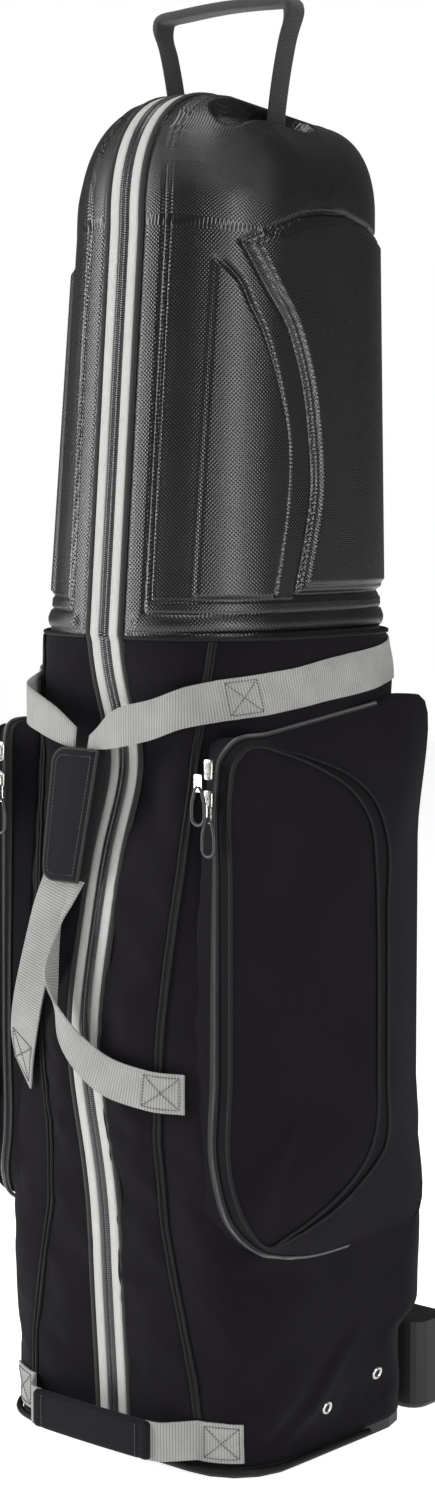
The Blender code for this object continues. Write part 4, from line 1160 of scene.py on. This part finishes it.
def carry_straps(skins):
    free = {"right": [(0.098, -0.1600, 0.713, 1.0), (0.070, -0.1700, 0.702, 1.0),
                      (0.040, -0.1765, 0.6945, 1.0), (0.022, -0.1780, 0.6885, 0.85),
                      (0.006, -0.1765, 0.6815, 0.55), (-0.006, -0.1750, 0.676, 0.4)],
            "left": [(-0.098, -0.1615, 0.709, 1.0), (-0.070, -0.1720, 0.700, 0.95),
                     (-0.045, -0.1765, 0.6915, 0.85), (-0.022, -0.1755, 0.680, 0.55)]}
    for label, side in SIDES:
        section = Section(0.73)
        reach = section.length - section.at_x(0.112)
        places = zip(np.linspace(BACK_SEAM, reach, SEWN_ROWS), np.linspace(0.7530, 0.719, SEWN_ROWS))
        grid = lying_rows(skins[label], side, places, 0.0022, 6, from_back=True)
        tail = [grid[-1].mean(axis=0)] + [np.array(p[:3]) for p in free[label]]
        wide = [grid[-1, -1] - grid[-1, 0]]
        wide += [np.array((0.0, 0.006 * (1.0 - p[3]), WEBBING_WIDTH * p[3])) for p in free[label]]
        loose = strap_grid(tail, wide, LOOSE_ROWS)
        sag = np.sin(np.linspace(0.0, math.pi, LOOSE_ROWS)) ** 2
        loose[..., 1] -= (0.0018 * sag)[:, None]
        grid = np.concatenate([grid, loose[1:]])
        strap = webbing_piece(f"carry_strap_top_{label}", grid, GREY)
        if label == "right":
            step = row_length(grid[:SEWN_ROWS])
            last = SEWN_ROWS - 2.0 - 0.004 / step
            box = cross_box("carry_stitches_top", grid, last - 0.031 / step, last)
            strap = join(f"carry_strap_top_{label}", [strap, box])
        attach(strap, HALF_BODY[label])
        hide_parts(f"carry_strap_upper_{label}")

    w = WEBBING_WIDTH
    left = strap_grid([(-0.046, -0.1740, 0.548), (-0.055, -0.1785, 0.520), (-0.064, -0.1800, 0.49),
                       (-0.080, -0.1820, 0.43), (-0.094, -0.1760, 0.385), (-0.104, -0.1655, 0.352)],
                      [(w * 0.95, 0, -w * 0.25), (w * 0.95, 0.0, -w * 0.28), (w * 0.95, 0, -w * 0.3),
                       (w * 0.95, 0, -w * 0.3), (w * 0.80, 0, -w * 0.6), (w * 0.64, -w * 0.1, -w * 0.75)], 90)
    right = strap_grid([(-0.022, -0.1745, 0.548), (-0.028, -0.1790, 0.528), (-0.034, -0.1860, 0.505),
                        (-0.036, -0.1960, 0.46), (-0.020, -0.1980, 0.41), (0.020, -0.1900, 0.374),
                        (0.070, -0.1800, 0.362), (0.104, -0.1650, 0.360)],
                       [(w * 0.5, 0, -w * 0.1), (w * 0.45, -w * 0.2, 0), (w * 0.35, -w * 0.4, 0),
                        (w * 0.3, -w * 0.8, w * 0.1), (w * 0.5, -w * 0.3, w * 0.7),
                        (w * 0.35, 0, w * 0.93), (w * 0.1, 0, w), (0, 0, w)], 120)
    for label, grid in (("left", left), ("right", right)):
        strap = webbing_piece(f"carry_strap_loop_{label}", grid, GREY,
                              inside=(0.0, 0.0, 0.45))
        step = row_length(grid)
        last = len(grid) - 3.0
        box = cross_box(f"carry_stitches_{label}", grid, last - 0.036 / step, last)
        strap = join(f"carry_strap_loop_{label}", [strap, box])
        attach(strap, HALF_BODY[label])
        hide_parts(f"carry_strap_lower_{label}")


# ---------------------------------------------------------------- carry wrap
FLAP_STEPS = 10             # points in each rounded corner of the flap


def wrap_x(z):
    return -0.0135 + WRAP_LEAN * (z - WRAP_TOP)


def wrap_half(z):
    return mix(0.0215, 0.0265, (z - WRAP_BOTTOM) / (WRAP_TOP - WRAP_BOTTOM))


def rounded_outline(half_x, half_y, radius, steps=6):
    points = []
    for cx, cy, start in ((1, 1, 0), (-1, 1, 90), (-1, -1, 180), (1, -1, 270)):
        for k in range(steps + 1):
            a = math.radians(start + 90.0 * k / steps)
            points.append((cx * (half_x - radius) + radius * math.cos(a),
                           cy * (half_y - radius) + radius * math.sin(a)))
    return np.array(points)


def flap_line(inset):
    """The flap's outline moved in, starting at its lower right corner."""
    top, bottom = WRAP_TOP - 0.001 - inset, WRAP_BOTTOM + 0.001 + inset
    radius = max(0.004, 0.014 - inset)
    points = [(wrap_x(z) + wrap_half(z) - inset, z) for z in np.linspace(bottom, top, 14)]
    left = inset - wrap_half(top) - 0.003
    points += [(wrap_x(top) + x, top) for x in np.linspace(wrap_half(top) - inset, left + radius, 8)[1:-1]]
    for k in range(FLAP_STEPS + 1):
        a = math.radians(90.0 + 90.0 * k / FLAP_STEPS)
        z = top - radius + radius * math.sin(a)
        points.append((wrap_x(z) + left + radius + radius * math.cos(a), z))
    points += [(wrap_x(z) + inset - wrap_half(z) - 0.003, z)
               for z in np.linspace(top - radius, bottom + radius, 14)[1:-1]]
    left = inset - wrap_half(bottom) - 0.003
    for k in range(FLAP_STEPS + 1):
        a = math.radians(180.0 + 90.0 * k / FLAP_STEPS)
        z = bottom + radius + radius * math.sin(a)
        points.append((wrap_x(z) + left + radius + radius * math.cos(a), z))
    points += [(wrap_x(bottom) + x, bottom)
               for x in np.linspace(left + radius, wrap_half(bottom) - inset, 8)[1:-1]]
    return np.array(points)


def carry_wrap():
    back, front = -0.1640, -0.1800
    rings = []
    for z in np.linspace(WRAP_BOTTOM, WRAP_TOP, 44):
        end = min(z - WRAP_BOTTOM, WRAP_TOP - z)
        shrink = 0.0045 * (1.0 - clamp(end / 0.006)) ** 2
        puff = 0.0012 * math.sin(math.pi * (z - WRAP_BOTTOM) / (WRAP_TOP - WRAP_BOTTOM))
        line = rounded_outline(wrap_half(z) - shrink + puff, 0.0078 - shrink, 0.0068 - shrink * 0.9)
        rings.append([(wrap_x(z) + x, y + (back + front) / 2.0, z) for x, y in line])
    body = closed_loft("wrap_body", rings, FLANNEL, angle=None)
    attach(body, "left_half")
    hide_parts("carry_wrap")

    insets = (0.0, 0.0008, 0.004, 0.009, 0.015)
    fronts = (0.0003, 0.0022, 0.0030, 0.0030, 0.0034)
    ring = np.array([[(x, front - rise - 0.0008 * hump(x - wrap_x(z), 0.0, 0.012), z)
                      for x, z in flap_line(inset)] for inset, rise in zip(insets, fronts)])
    cols = ring.shape[1]
    mid_z = np.clip(ring[-1][:, 2], WRAP_BOTTOM + 0.022, WRAP_TOP - 0.022)
    spine = np.stack([wrap_x(mid_z) - 0.001, np.full(cols, front - 0.0046), mid_z], axis=-1)
    full = np.concatenate([ring, mix(ring[-1], spine, 0.5)[None], spine[None]])
    verts = full.transpose(1, 0, 2).reshape(-1, 3)
    faces = grid_faces(cols, len(full), True)
    lid = new_piece("flap_cloth", verts, faces, FLANNEL, verts[:, [0, 2, 1]], 50.0)
    with editing(lid.data) as bm:
        bmesh.ops.remove_doubles(bm, verts=bm.verts, dist=1e-5)
        bmesh.ops.recalc_face_normals(bm, faces=bm.faces)
        if sum(f.normal.y * f.calc_area() for f in bm.faces) > 0.0:
            bmesh.ops.reverse_faces(bm, faces=bm.faces)
    solid = lid.modifiers.new("thickness", "SOLIDIFY")
    solid.thickness = 0.0012
    applied(lid)
    edge = [(x, front - 0.0014, z) for x, z in flap_line(0.0004)]
    edge = np.array(edge + edge[:1])
    binding = cord("flap_binding", edge, 0.0015, TAPE_BLACK,
                   guide=np.broadcast_to((0, -1.0, 0), edge.shape))
    seam = np.array([(x, front - 0.0034, z) for x, z in flap_line(0.0062)])
    seam = capsules("flap_seam", np.concatenate([seam, seam[:1]]), 0.0034, 0.0024, 0.00045, THREAD)
    flap = join("wrap_flap_cloth", [lid, binding, seam])
    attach(flap, "wrap_flap")
    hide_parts("carry_wrap_flap")


# ---------------------------------------------------------------- side pockets
FRONT_RUN_Y = -0.156
TOP_RUN_START = np.array([0.146, -0.145, 0.680])
TOP_RUN_END = np.array([POCKET_BACK[0], POCKET_BACK[1], 0.7147])
LIP = {"right": 0.014, "left": 0.007}
FACE_X = {"right": 0.193, "left": 0.188}
PER = 8


def pocket_rim():
    x, y = POCKET_BACK
    bottom = [(x, y, 0.205), (x, 0.050, 0.2015), (x, 0.0, 0.200), (x - 0.001, -0.070, 0.203),
              (x - 0.003, -0.097, 0.2085), (x - 0.006, -0.120, 0.216), (0.150, -0.148, 0.245)]
    front = [(0.139, FRONT_RUN_Y, z) for z in (0.29, 0.38, 0.47, 0.56, 0.645)]
    corner = [(0.141, -0.1535, 0.668)]
    top = [tuple(mix(TOP_RUN_START, TOP_RUN_END, t)) for t in (0.0, 0.18, 0.36, 0.54, 0.77, 1.0)]
    back = [(x, y, z) for z in (0.58, 0.45, 0.32)]
    return np.array(bottom + front + corner + top + back)


def pocket_face(label):
    lip, x = LIP[label], FACE_X[label]
    bottom = [(x, 0.004, 0.315), (x - 0.001, -0.002, 0.297), (x - 0.002, -0.012, 0.283),
              (x - 0.013, -0.075, 0.240), (x - 0.018, -0.101, 0.2295), (x - 0.024, -0.122, 0.221),
              (0.152 + lip, -0.150, 0.246)]
    front = [(0.139 + lip, FRONT_RUN_Y - 0.002, z) for z in (0.29, 0.38, 0.47, 0.56, 0.645)]
    corner = [(0.141 + lip, -0.1535, 0.6675)]
    top = [(0.146 + lip, -0.144, 0.6790), (x - 0.025, -0.100, 0.672), (x - 0.014, -0.060, 0.655),
           (x - 0.005, -0.030, 0.636), (x, -0.006, 0.604), (x, 0.002, 0.560)]
    back = [(x, 0.005, 0.50), (x, 0.006, 0.44), (x, 0.006, 0.37)]
    return np.array(bottom + front + corner + top + back)


def nearest_station(section, x, y):
    return float(section.s[np.argmin(np.hypot(section.line[:, 0] - x, section.line[:, 1] - y))])


def pocket_root(rim, off):
    root = []
    for x, y, z in rim:
        section = Section(z)
        s = nearest_station(section, x, y)
        front = clamp((-0.10 - y) / 0.05)
        s = mix(s, section.at_x(0.107), smooth(front))
        root.append(section.points([s], off, 1.0)[0])
    return np.array(root)


def soften(points, passes):
    """A closed line of points, evened out."""
    for _ in range(passes):
        points = 0.25 * np.roll(points, 1, axis=0) + 0.5 * points + 0.25 * np.roll(points, -1, axis=0)
    return points


pocket_noise = Noise(31)


def pockets():
    rim = smooth_loop(pocket_rim(), PER)
    low_root = soften(pocket_root(rim, -0.004), 6)
    for label, side in SIDES:
        flip = np.array([side, 1.0, 1.0])
        face = soften(smooth_loop(pocket_face(label), PER), 3)
        count = len(rim)
        around = arc_length(rim)
        grid = np.stack([mix(low_root, rim, t) + np.array([0.0, 0.0, 0.0015 * math.sin(math.pi * t)])
                         for t in np.linspace(0.0, 1.0, 8)])
        loop = np.concatenate([grid, grid[:, :1]], axis=1)
        depth = np.cumsum(np.linalg.norm(np.diff(loop, axis=0, prepend=loop[:1]), axis=2), axis=0)
        run = np.append(around, around[-1] + 0.005)
        weave = np.stack([np.broadcast_to(run, depth.shape), depth], axis=-1)
        gusset = sheet(f"pocket_side_{label}", loop * flip, FABRIC, weave, inside=(side * 0.14, 0.0, 0.45),
                       thick=0.002, angle=50.0)
        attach(applied(gusset), HALF_BODY[label])
        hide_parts(f"pocket_gusset_{label}")

        edge = 0.139 + LIP[label]
        middle_x = edge + 0.46 * (FACE_X[label] - edge) + 0.004
        spine = np.stack([np.full(count, middle_x), np.full(count, -0.085),
                          np.clip(face[:, 2], 0.34, 0.58)], axis=1)
        rows = []
        for t in np.linspace(0.0, 1.0, 9):
            bulge = 0.0026 * math.sin(math.pi * t)
            rows.append(mix(rim, face, t) + np.array([bulge, 0.0, 0.0]))
        for t in np.linspace(0.0, 1.0, 26)[1:]:
            rise = 0.0022 * clamp(t / 0.16) ** 0.5 + 0.0020 * math.sin(math.pi * min(1.0, t * 1.1))
            rows.append(mix(face, spine, t) + np.array([rise, 0.0, 0.0]))
        rows = np.array(rows)
        wrinkle = pocket_noise(rows[..., 1] * 16.0 + 2.0 * side, rows[..., 2] * 11.0)
        wrinkle += 0.5 * pocket_noise(rows[..., 1] * 38.0, rows[..., 2] * 24.0 + rows[..., 1] * 12.0)
        calm = np.clip(np.arange(len(rows)) / 12.0, 0.0, 1.0)[:, None]
        rows[..., 0] += 0.0013 * wrinkle * calm
        loop = np.concatenate([rows, rows[:, :1]], axis=1)
        cloth = sheet(f"pocket_cloth_{label}", loop * flip, FABRIC, loop[..., [1, 2]],
                      inside=(side * 0.12, 0.0, 0.45), thick=0.0022, angle=None)
        applied(cloth)
        cords = [cloth]
        for number, t in enumerate((0.999, 0.80)):
            line = mix(rim, face, t) + np.array([0.0016 + 0.0026 * math.sin(math.pi * t), -0.0004, 0.0])
            line = np.concatenate([line, line[:1]]) * flip
            cords.append(cord(f"pocket_cord_{number}_{label}", line, 0.0019, PIPING, 8,
                              guide=np.broadcast_to((side, 0.0, 0.0), line.shape)))
        door = join(f"pocket_face_{label}", cords)
        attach(door, f"door_{label}")
        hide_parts(f"pocket_door_{label}")
        pocket_coil(label, side, rim, low_root)
        pocket_runners(label, side)


def pocket_coil(label, side, rim, root):
    """The zipper's coil and tape on the gusset, just below the pocket's rim."""
    first, last = 2 * PER, 17 * PER
    away = np.zeros_like(rim)
    along = np.roll(rim, -1, axis=0) - np.roll(rim, 1, axis=0)
    away[:, 1], away[:, 2] = -along[:, 2], along[:, 1]
    away *= np.sign(np.sum(away * (rim - rim.mean(axis=0)), axis=1))[:, None]
    path, outs, strip = [], [], []
    for k in range(first, last + 1):
        down = unit(root[k] - rim[k])
        out = unit(np.cross(along[k], down))
        out *= np.sign(np.dot(out, away[k]))
        path.append(rim[k] + down * 0.0035 + out * 0.0026)
        outs.append(out)
        strip.append([rim[k] + down * d + out * 0.0016 for d in (0.0002, 0.0035, 0.0070, 0.0105)])
    flip = np.array([side, 1.0, 1.0])
    path, outs = np.array(path) * flip, np.array(outs) * flip
    both = spline(np.concatenate([path, outs], axis=1), 1400)
    radius = 0.0016 + 0.0005 * (np.arange(1400) % 2)
    teeth = cord(f"pocket_teeth_{label}", both[:, :3], radius, COIL, 6, guide=both[:, 3:])
    strip = np.array(strip) * flip
    run = arc_length(path)
    weave = np.stack([np.broadcast_to(np.array([0.0, 0.0033, 0.0068, 0.0103]), strip.shape[:2]),
                      np.broadcast_to(run[:, None], strip.shape[:2])], axis=-1)
    tape = sheet(f"pocket_tape_{label}", strip, TAPE_BLACK, weave, inside=(side * 0.14, 0.0, 0.45),
                 thick=0.0006)
    coil = join(f"pocket_coil_{label}", [teeth, applied(tape)])
    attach(coil, HALF_BODY[label])
    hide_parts(f"pocket_zip_{label}")


def slider_shape(name, centre, width, height, depth, out):
    """A zip slider: a waisted plate, wider at the top, with a bridge for its pull."""
    out = unit(out)
    right = unit(np.cross((0.0, 0.0, 1.0), out))
    rings = []
    for k, d in enumerate((0.0, 0.12, 0.85, 1.0)):
        shrink = 0.86 if k in (0, 3) else 1.0
        ring = []
        for x, z in rounded_outline(width / 2 * shrink, height / 2 * shrink, width * 0.22, 5):
            waist = 1.0 - 0.20 * smooth((height * 0.1 - z) / height)
            ring.append(centre + right * x * waist + np.array([0.0, 0.0, z]) + out * depth * 0.55 * d)
        rings.append(ring)
    plate = closed_loft(f"{name}_plate", rings, NICKEL)
    arch = [centre + out * (depth * 0.5 + depth * 0.5 * (1.0 - abs(v) ** 3))
            + np.array([0.0, 0.0, v * height * 0.36]) for v in np.linspace(-1.0, 1.0, 15)]
    bridge = cord(f"{name}_bridge", arch, 0.0011, NICKEL, 8, guide=np.broadcast_to(right, (15, 3)))
    piece = join(name, [plate, bridge])
    return piece


def pull_shape(name, top, length, width, out, radius=0.0012):
    """A pull: a small nickel tab with a cord loop hanging from it."""
    out = unit(out)
    right = unit(np.cross((0.0, 0.0, 1.0), out))
    down = np.array([0.0, 0.0, -1.0])
    rings = []
    for d in (-0.0006, 0.0006):
        rings.append([top + right * x + down * (0.008 - z) + out * d
                      for x, z in rounded_outline(width * 0.30, 0.008, width * 0.14, 4)])
    tab = closed_loft(f"{name}_tab", rings, NICKEL)
    low = length - width * 0.5
    line = [top + down * 0.011 + right * width * 0.08]
    line += [top + down * mix(0.016, low, t) + right * width * mix(0.30, 0.5, clamp(t * 2.0))
             for t in np.linspace(0, 1, 8)]
    for k in range(1, 12):
        a = math.pi * k / 12
        line.append(top + down * (low + width * 0.5 * math.sin(a)) + right * width * 0.5 * math.cos(a))
    line += [top + down * mix(low, 0.016, t) - right * width * mix(0.5, 0.30, clamp(t * 2.0 - 1.0))
             for t in np.linspace(0, 1, 8)]
    line += [top + down * 0.011 - right * width * 0.08]
    line = spline(np.array(line), 60)
    loop = cord(f"{name}_loop", line, radius, CORD, 8, guide=np.broadcast_to(out, line.shape))
    piece = join(name, [tab, loop])
    return piece


def pull_top(node):
    """Where a pull hangs: the middle of its node, just under the top."""
    low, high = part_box(node)
    return np.array([(low[0] + high[0]) / 2.0, (low[1] + high[1]) / 2.0, high[2] - 0.0006])


def pocket_runners(label, side):
    out = np.array([0.0, -1.0, 0.0])
    for kind, z, width in (("upper", 0.660, 0.0150), ("lower", 0.632, 0.0140)):
        centre = np.array([side * 0.1325, FRONT_RUN_Y - 0.0058, z])
        runner = slider_shape(f"runner_{kind}_{label}", centre, 0.010, 0.018, 0.0062, out)
        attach(runner, HALF_BODY[label] if kind == "upper" else f"slider_{label}")
        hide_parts(f"slider_{kind}_{label}")
        top = pull_top(f"pull_{kind}_{label}")
        pull = pull_shape(f"runner_pull_{kind}_{label}", top, 0.046, width, out, 0.0017)
        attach(pull, f"pull_{kind}_{label}")
        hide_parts(f"pull_{kind}_{label}")


# ---------------------------------------------------------------- handles, base and hardware
def top_handle():
    """One webbing strap from foot to foot, folded double along the grip."""
    rings, foot = [], 1.2440
    left = [(-0.060, foot), (-0.0615, 1.262), (-0.067, 1.295), (-0.0745, 1.327), (-0.0810, 1.345),
            (-0.0818, 1.3555), (-0.0765, 1.3615)]
    grip = [(-0.055, 1.3630), (-0.025, 1.3645), (0.0, 1.3650)]
    line = left + grip + [(-x, z) for x, z in (left + grip[:-1])[::-1]]
    line = spline(np.array([(x, 0.0, z) for x, z in line]), 120)
    tangent = np.gradient(line, axis=0)
    tangent /= np.linalg.norm(tangent, axis=1)[:, None]
    for p, t in zip(line, tangent):
        normal = np.array([-t[2], 0.0, t[0]])
        thick = mix(0.0013, 0.0046, ramp(1.338, 1.356, p[2]))
        wide = mix(0.0125, 0.0128, ramp(1.338, 1.356, p[2]))
        outline = rounded_outline(wide, thick, min(thick * 0.9, 0.0036), 4)
        rings.append([p + np.array([0.0, HANDLE_Y + y, 0.0]) + normal * h for y, h in outline])
    place = arc_length(line)
    around = np.array([y for y, _ in rounded_outline(0.0125, 0.0046, 0.0036, 4)])
    weave = np.stack([np.broadcast_to(around, (len(rings), len(around))),
                      np.broadcast_to(place[:, None], (len(rings), len(around)))], axis=-1)
    handle = closed_loft("top_handle_strap", rings, BLACK_WEB, weave, 60.0)
    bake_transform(handle)
    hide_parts("top_handle_leg_right", "top_handle_leg_left", "top_handle_grip")


SLEEVE_HALF = 0.0745


def haul_handle(skins):
    z, half = 0.033, WEBBING_WIDTH / 2.0
    rings = []
    for x in np.linspace(-SLEEVE_HALF, SLEEVE_HALF, 60):
        end = min(x + SLEEVE_HALF, SLEEVE_HALF - x)
        groove = 0.10 * math.exp(-((end - 0.011) / 0.0016) ** 2)
        shrink = 1.0 - 0.35 * (1.0 - clamp(end / 0.004)) ** 2 - groove
        bow = 0.0015 * math.cos(x / SLEEVE_HALF * math.pi / 2)
        line = rounded_outline(0.0052 * shrink, half * (1.0 - 0.4 * (1.0 - shrink)), 0.0044 * shrink, 5)
        rings.append([(x, -0.180 - bow + a, z + b) for a, b in line])
    sleeve = closed_loft("haul_sleeve_cloth", rings, FLANNEL, angle=None)
    seams = []
    for number, x in enumerate((-0.061, 0.061)):
        line = [(x, -0.1866, z + v) for v in np.linspace(-half * 0.85, half * 0.85, 20)]
        seams.append(capsules(f"sleeve_seam_{number}", line, 0.0032, 0.0023, 0.0005, THREAD))
    seam = join("haul_sleeve_seams", seams)
    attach(sleeve, "haul_handle")
    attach(seam, "haul_handle")
    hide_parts("bottom_handle_sleeve")
    section = Section(z)
    for label, side in SIDES:
        points = [np.array(p) for p in ((side * 0.068, -0.1800, z), (side * 0.0750, -0.1795, z),
                                        (side * 0.084, -0.1765, z), (side * 0.093, -0.1665, z),
                                        (side * 0.100, -0.1575, z))]
        start = section.at_x(0.106)
        places = [(s, z) for s in np.linspace(start, start + 0.044, 40)]
        rows = lying_rows(skins[label], side, places, 0.0024, 8)
        wide = [np.array((0.0, 0.0, WEBBING_WIDTH))] * len(points) + [rows[0, -1] - rows[0, 0]]
        loose = strap_grid(points + [rows[0].mean(axis=0)], wide, 30)
        grid = np.concatenate([loose[:-1], rows])
        tail = webbing_piece(f"haul_tail_{label}", grid, GREY, inside=(0.0, 0.0, 0.03))
        step = row_length(rows)
        last = len(grid) - 1.0 - 0.004 / step
        box = cross_box(f"haul_stitches_{label}", grid, last - 0.034 / step, last)
        tail = join(f"haul_tail_{label}", [tail, box])
        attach(tail, "case")
        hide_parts(f"bottom_handle_tail_{label}")


# radius and height off the fabric, from the eyelet's rim inwards
EYELET = ((0.0068, 0.0), (0.0066, 0.0009), (0.0056, 0.0015), (0.0046, 0.0014), (0.0038, 0.0006),
          (0.0035, -0.0006))
# the flat disc across the ring's hole, coloured as painted shade: radius and height off the fabric
EYELET_HOLE = ((0.0036, -0.0002), (0.0036, 0.00015), (0.0030, 0.0002))


def base_trim(skins):
    section = Section(0.0)
    reach = section.at_x(half_width(0.0)) + 0.12
    stations = np.linspace(0.0, reach, 90)
    line = [section.points([s], 0.0038, -1.0)[0] for s in stations[::-1]]
    line += [section.points([s], 0.0038, 1.0)[0] for s in stations[1:]]
    line = np.array(line)
    line[:, 2] = 0.0068
    hem = cord("base_hem", line, 0.0034, PIPING, 10,
               guide=np.broadcast_to((0.0, 0.0, 1.0), line.shape))
    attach(hem, "case")
    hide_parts("base_piping")
    for name, y, z in (("front", -0.030, 0.047), ("rear", 0.050, 0.060)):
        for label, side in SIDES:
            near = Vector((side * half_width(z), y, z))
            place, normal = skins[label].tree.find_nearest(near)[:2]
            out = unit(np.array(normal) * (1.0 if normal.x * side > 0.0 else -1.0))
            up = unit(np.cross(out, (0.0, 1.0, 0.0)))
            across = np.cross(up, out)
            rings, disc = ([[np.array(place) + out * h + r * (math.cos(a) * across + math.sin(a) * up)
                             for a in np.linspace(0.0, 2.0 * math.pi, count, endpoint=False)]
                            for r, h in profile] for profile, count in ((EYELET, 24), (EYELET_HOLE, 20)))
            ring = closed_loft(f"ring_{name}_{label}", rings, NICKEL, angle=70.0)
            # the dark disc across the ring's hole is painted shade, standing in for the shade inside the hole
            hole = closed_loft(f"ring_hole_shade_{name}_{label}", disc, HOLE_SHADE)
            piece = join(f"eyelet_ring_{name}_{label}", [ring, hole])
            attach(piece, "case")
            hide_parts(f"eyelet_{name}_{label}")


def main_runner():
    low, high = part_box("main_slider")
    centre = np.array([(low[0] + high[0]) / 2.0, high[1] - 0.0004, (low[2] + high[2]) / 2.0])
    out = np.array([0.0, -1.0, 0.0])
    runner = slider_shape("main_runner", centre, high[0] - low[0], high[2] - low[2], high[1] - low[1], out)
    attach(runner, "zip_slider")
    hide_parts("main_slider")
    low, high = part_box("main_pull")
    pull = pull_shape("main_runner_pull", pull_top("main_pull"), high[2] - low[2],
                      high[0] - low[0] + 0.003, out)
    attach(pull, "zip_pull")
    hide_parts("main_pull")


FINISHES = (("wheel_housing", PLASTIC_SOLID, "base_plastic"), ("base_plate", PLASTIC_SOLID, "base_plastic"),
            ("base_pad", PLASTIC_SOLID, "black_trim"), ("wheel_hub", PLASTIC_SOLID, "base_plastic"),
            ("wheel_tyre", RUBBER_SOLID, "rubber"), ("wheel_axle", NICKEL_SOLID, "nickel"))


def frame_finishes():
    """Materials for the hard pieces that show as they are in the CAD."""
    for name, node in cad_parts.items():
        for part, mat, slot in FINISHES:
            if name.startswith(part):
                node.data.materials.clear()
                node.data.materials.append(mat)
        if name == "wheel_housing":
            soft_edge = node.modifiers.new("soft_edge", "BEVEL")
            soft_edge.width = 0.003
            soft_edge.segments = 3
            soft_edge.limit_method = "ANGLE"


# ---------------------------------------------------------------- stage, lights and camera
AMBIENT = 0.14
# name, azimuth in degrees, height, distance from the axis, width, length, power
LAMPS = (("front", -46.0, 0.85, 2.1, 0.62, 2.4, 62.0),
         ("right", 68.0, 0.95, 2.2, 0.50, 2.2, 40.0),
         ("top", 20.0, 3.0, 0.4, 1.2, 1.2, 30.0))
CAMERA_LENS = 66.18
CAMERA_PLACE = (1.7536, -2.0049, 0.9115)
CAMERA_TURN = (84.56, 0.0, 41.176)


def stage_scene():
    floor = new_piece("floor", [(-6, -6, -0.0005), (6, -6, -0.0005), (6, 6, -0.0005), (-6, 6, -0.0005)],
                      [(0, 1, 2, 3)], FLOOR)
    scene = bpy.context.scene
    world = bpy.data.worlds.new("studio")
    world.use_nodes = True
    nodes, links = world.node_tree.nodes, world.node_tree.links
    backdrop = nodes["Background"]
    backdrop.inputs["Strength"].default_value = 1.0
    backdrop.inputs["Color"].default_value = (1.0, 1.0, 1.0, 1.0)
    ambient = nodes.new("ShaderNodeBackground")
    ambient.inputs["Color"].default_value = (1.0, 1.0, 1.0, 1.0)
    ambient.inputs["Strength"].default_value = AMBIENT
    either = nodes.new("ShaderNodeMixShader")
    links.new(nodes.new("ShaderNodeLightPath").outputs["Is Camera Ray"], either.inputs[0])
    links.new(ambient.outputs[0], either.inputs[1])
    links.new(backdrop.outputs[0], either.inputs[2])
    links.new(either.outputs[0], nodes["World Output"].inputs["Surface"])
    scene.world = world
    middle = Vector((0.0, 0.0, 0.68))
    for name, azimuth, height, away, width, tall, power in LAMPS:
        lamp = bpy.data.lights.new(name, "AREA")
        lamp.shape = "RECTANGLE"
        lamp.size, lamp.size_y = width, tall
        lamp.energy = power
        obj = bpy.data.objects.new(name, lamp)
        angle = math.radians(azimuth)
        obj.location = (away * math.sin(angle), -away * math.cos(angle), height)
        obj.rotation_euler = (middle - obj.location).to_track_quat("-Z", "Y").to_euler()
        scene.collection.objects.link(obj)
    lens = bpy.data.cameras.new("camera")
    lens.lens = CAMERA_LENS
    lens.sensor_width = lens.sensor_height = 36.0
    lens.sensor_fit = "VERTICAL"
    camera = bpy.data.objects.new("camera", lens)
    camera.location = CAMERA_PLACE
    camera.rotation_euler = [math.radians(angle) for angle in CAMERA_TURN]
    scene.collection.objects.link(camera)
    scene.camera = camera
    scene.view_settings.view_transform = "Standard"


def main():
    shells()
    skins = {}
    for label, side in SIDES:
        wall = fabric_wall(label, side)
        skins[label] = Skin(wall)
        if label == "left":
            turn_with_half(wall, label)
        seam_piping(label, side, skins[label])
        rim_piping(label, side)
    back_bridge()
    main_zipper()
    carry_straps(skins)
    carry_wrap()
    pockets()
    top_handle()
    haul_handle(skins)
    base_trim(skins)
    main_runner()
    frame_finishes()
    stage_scene()


main()
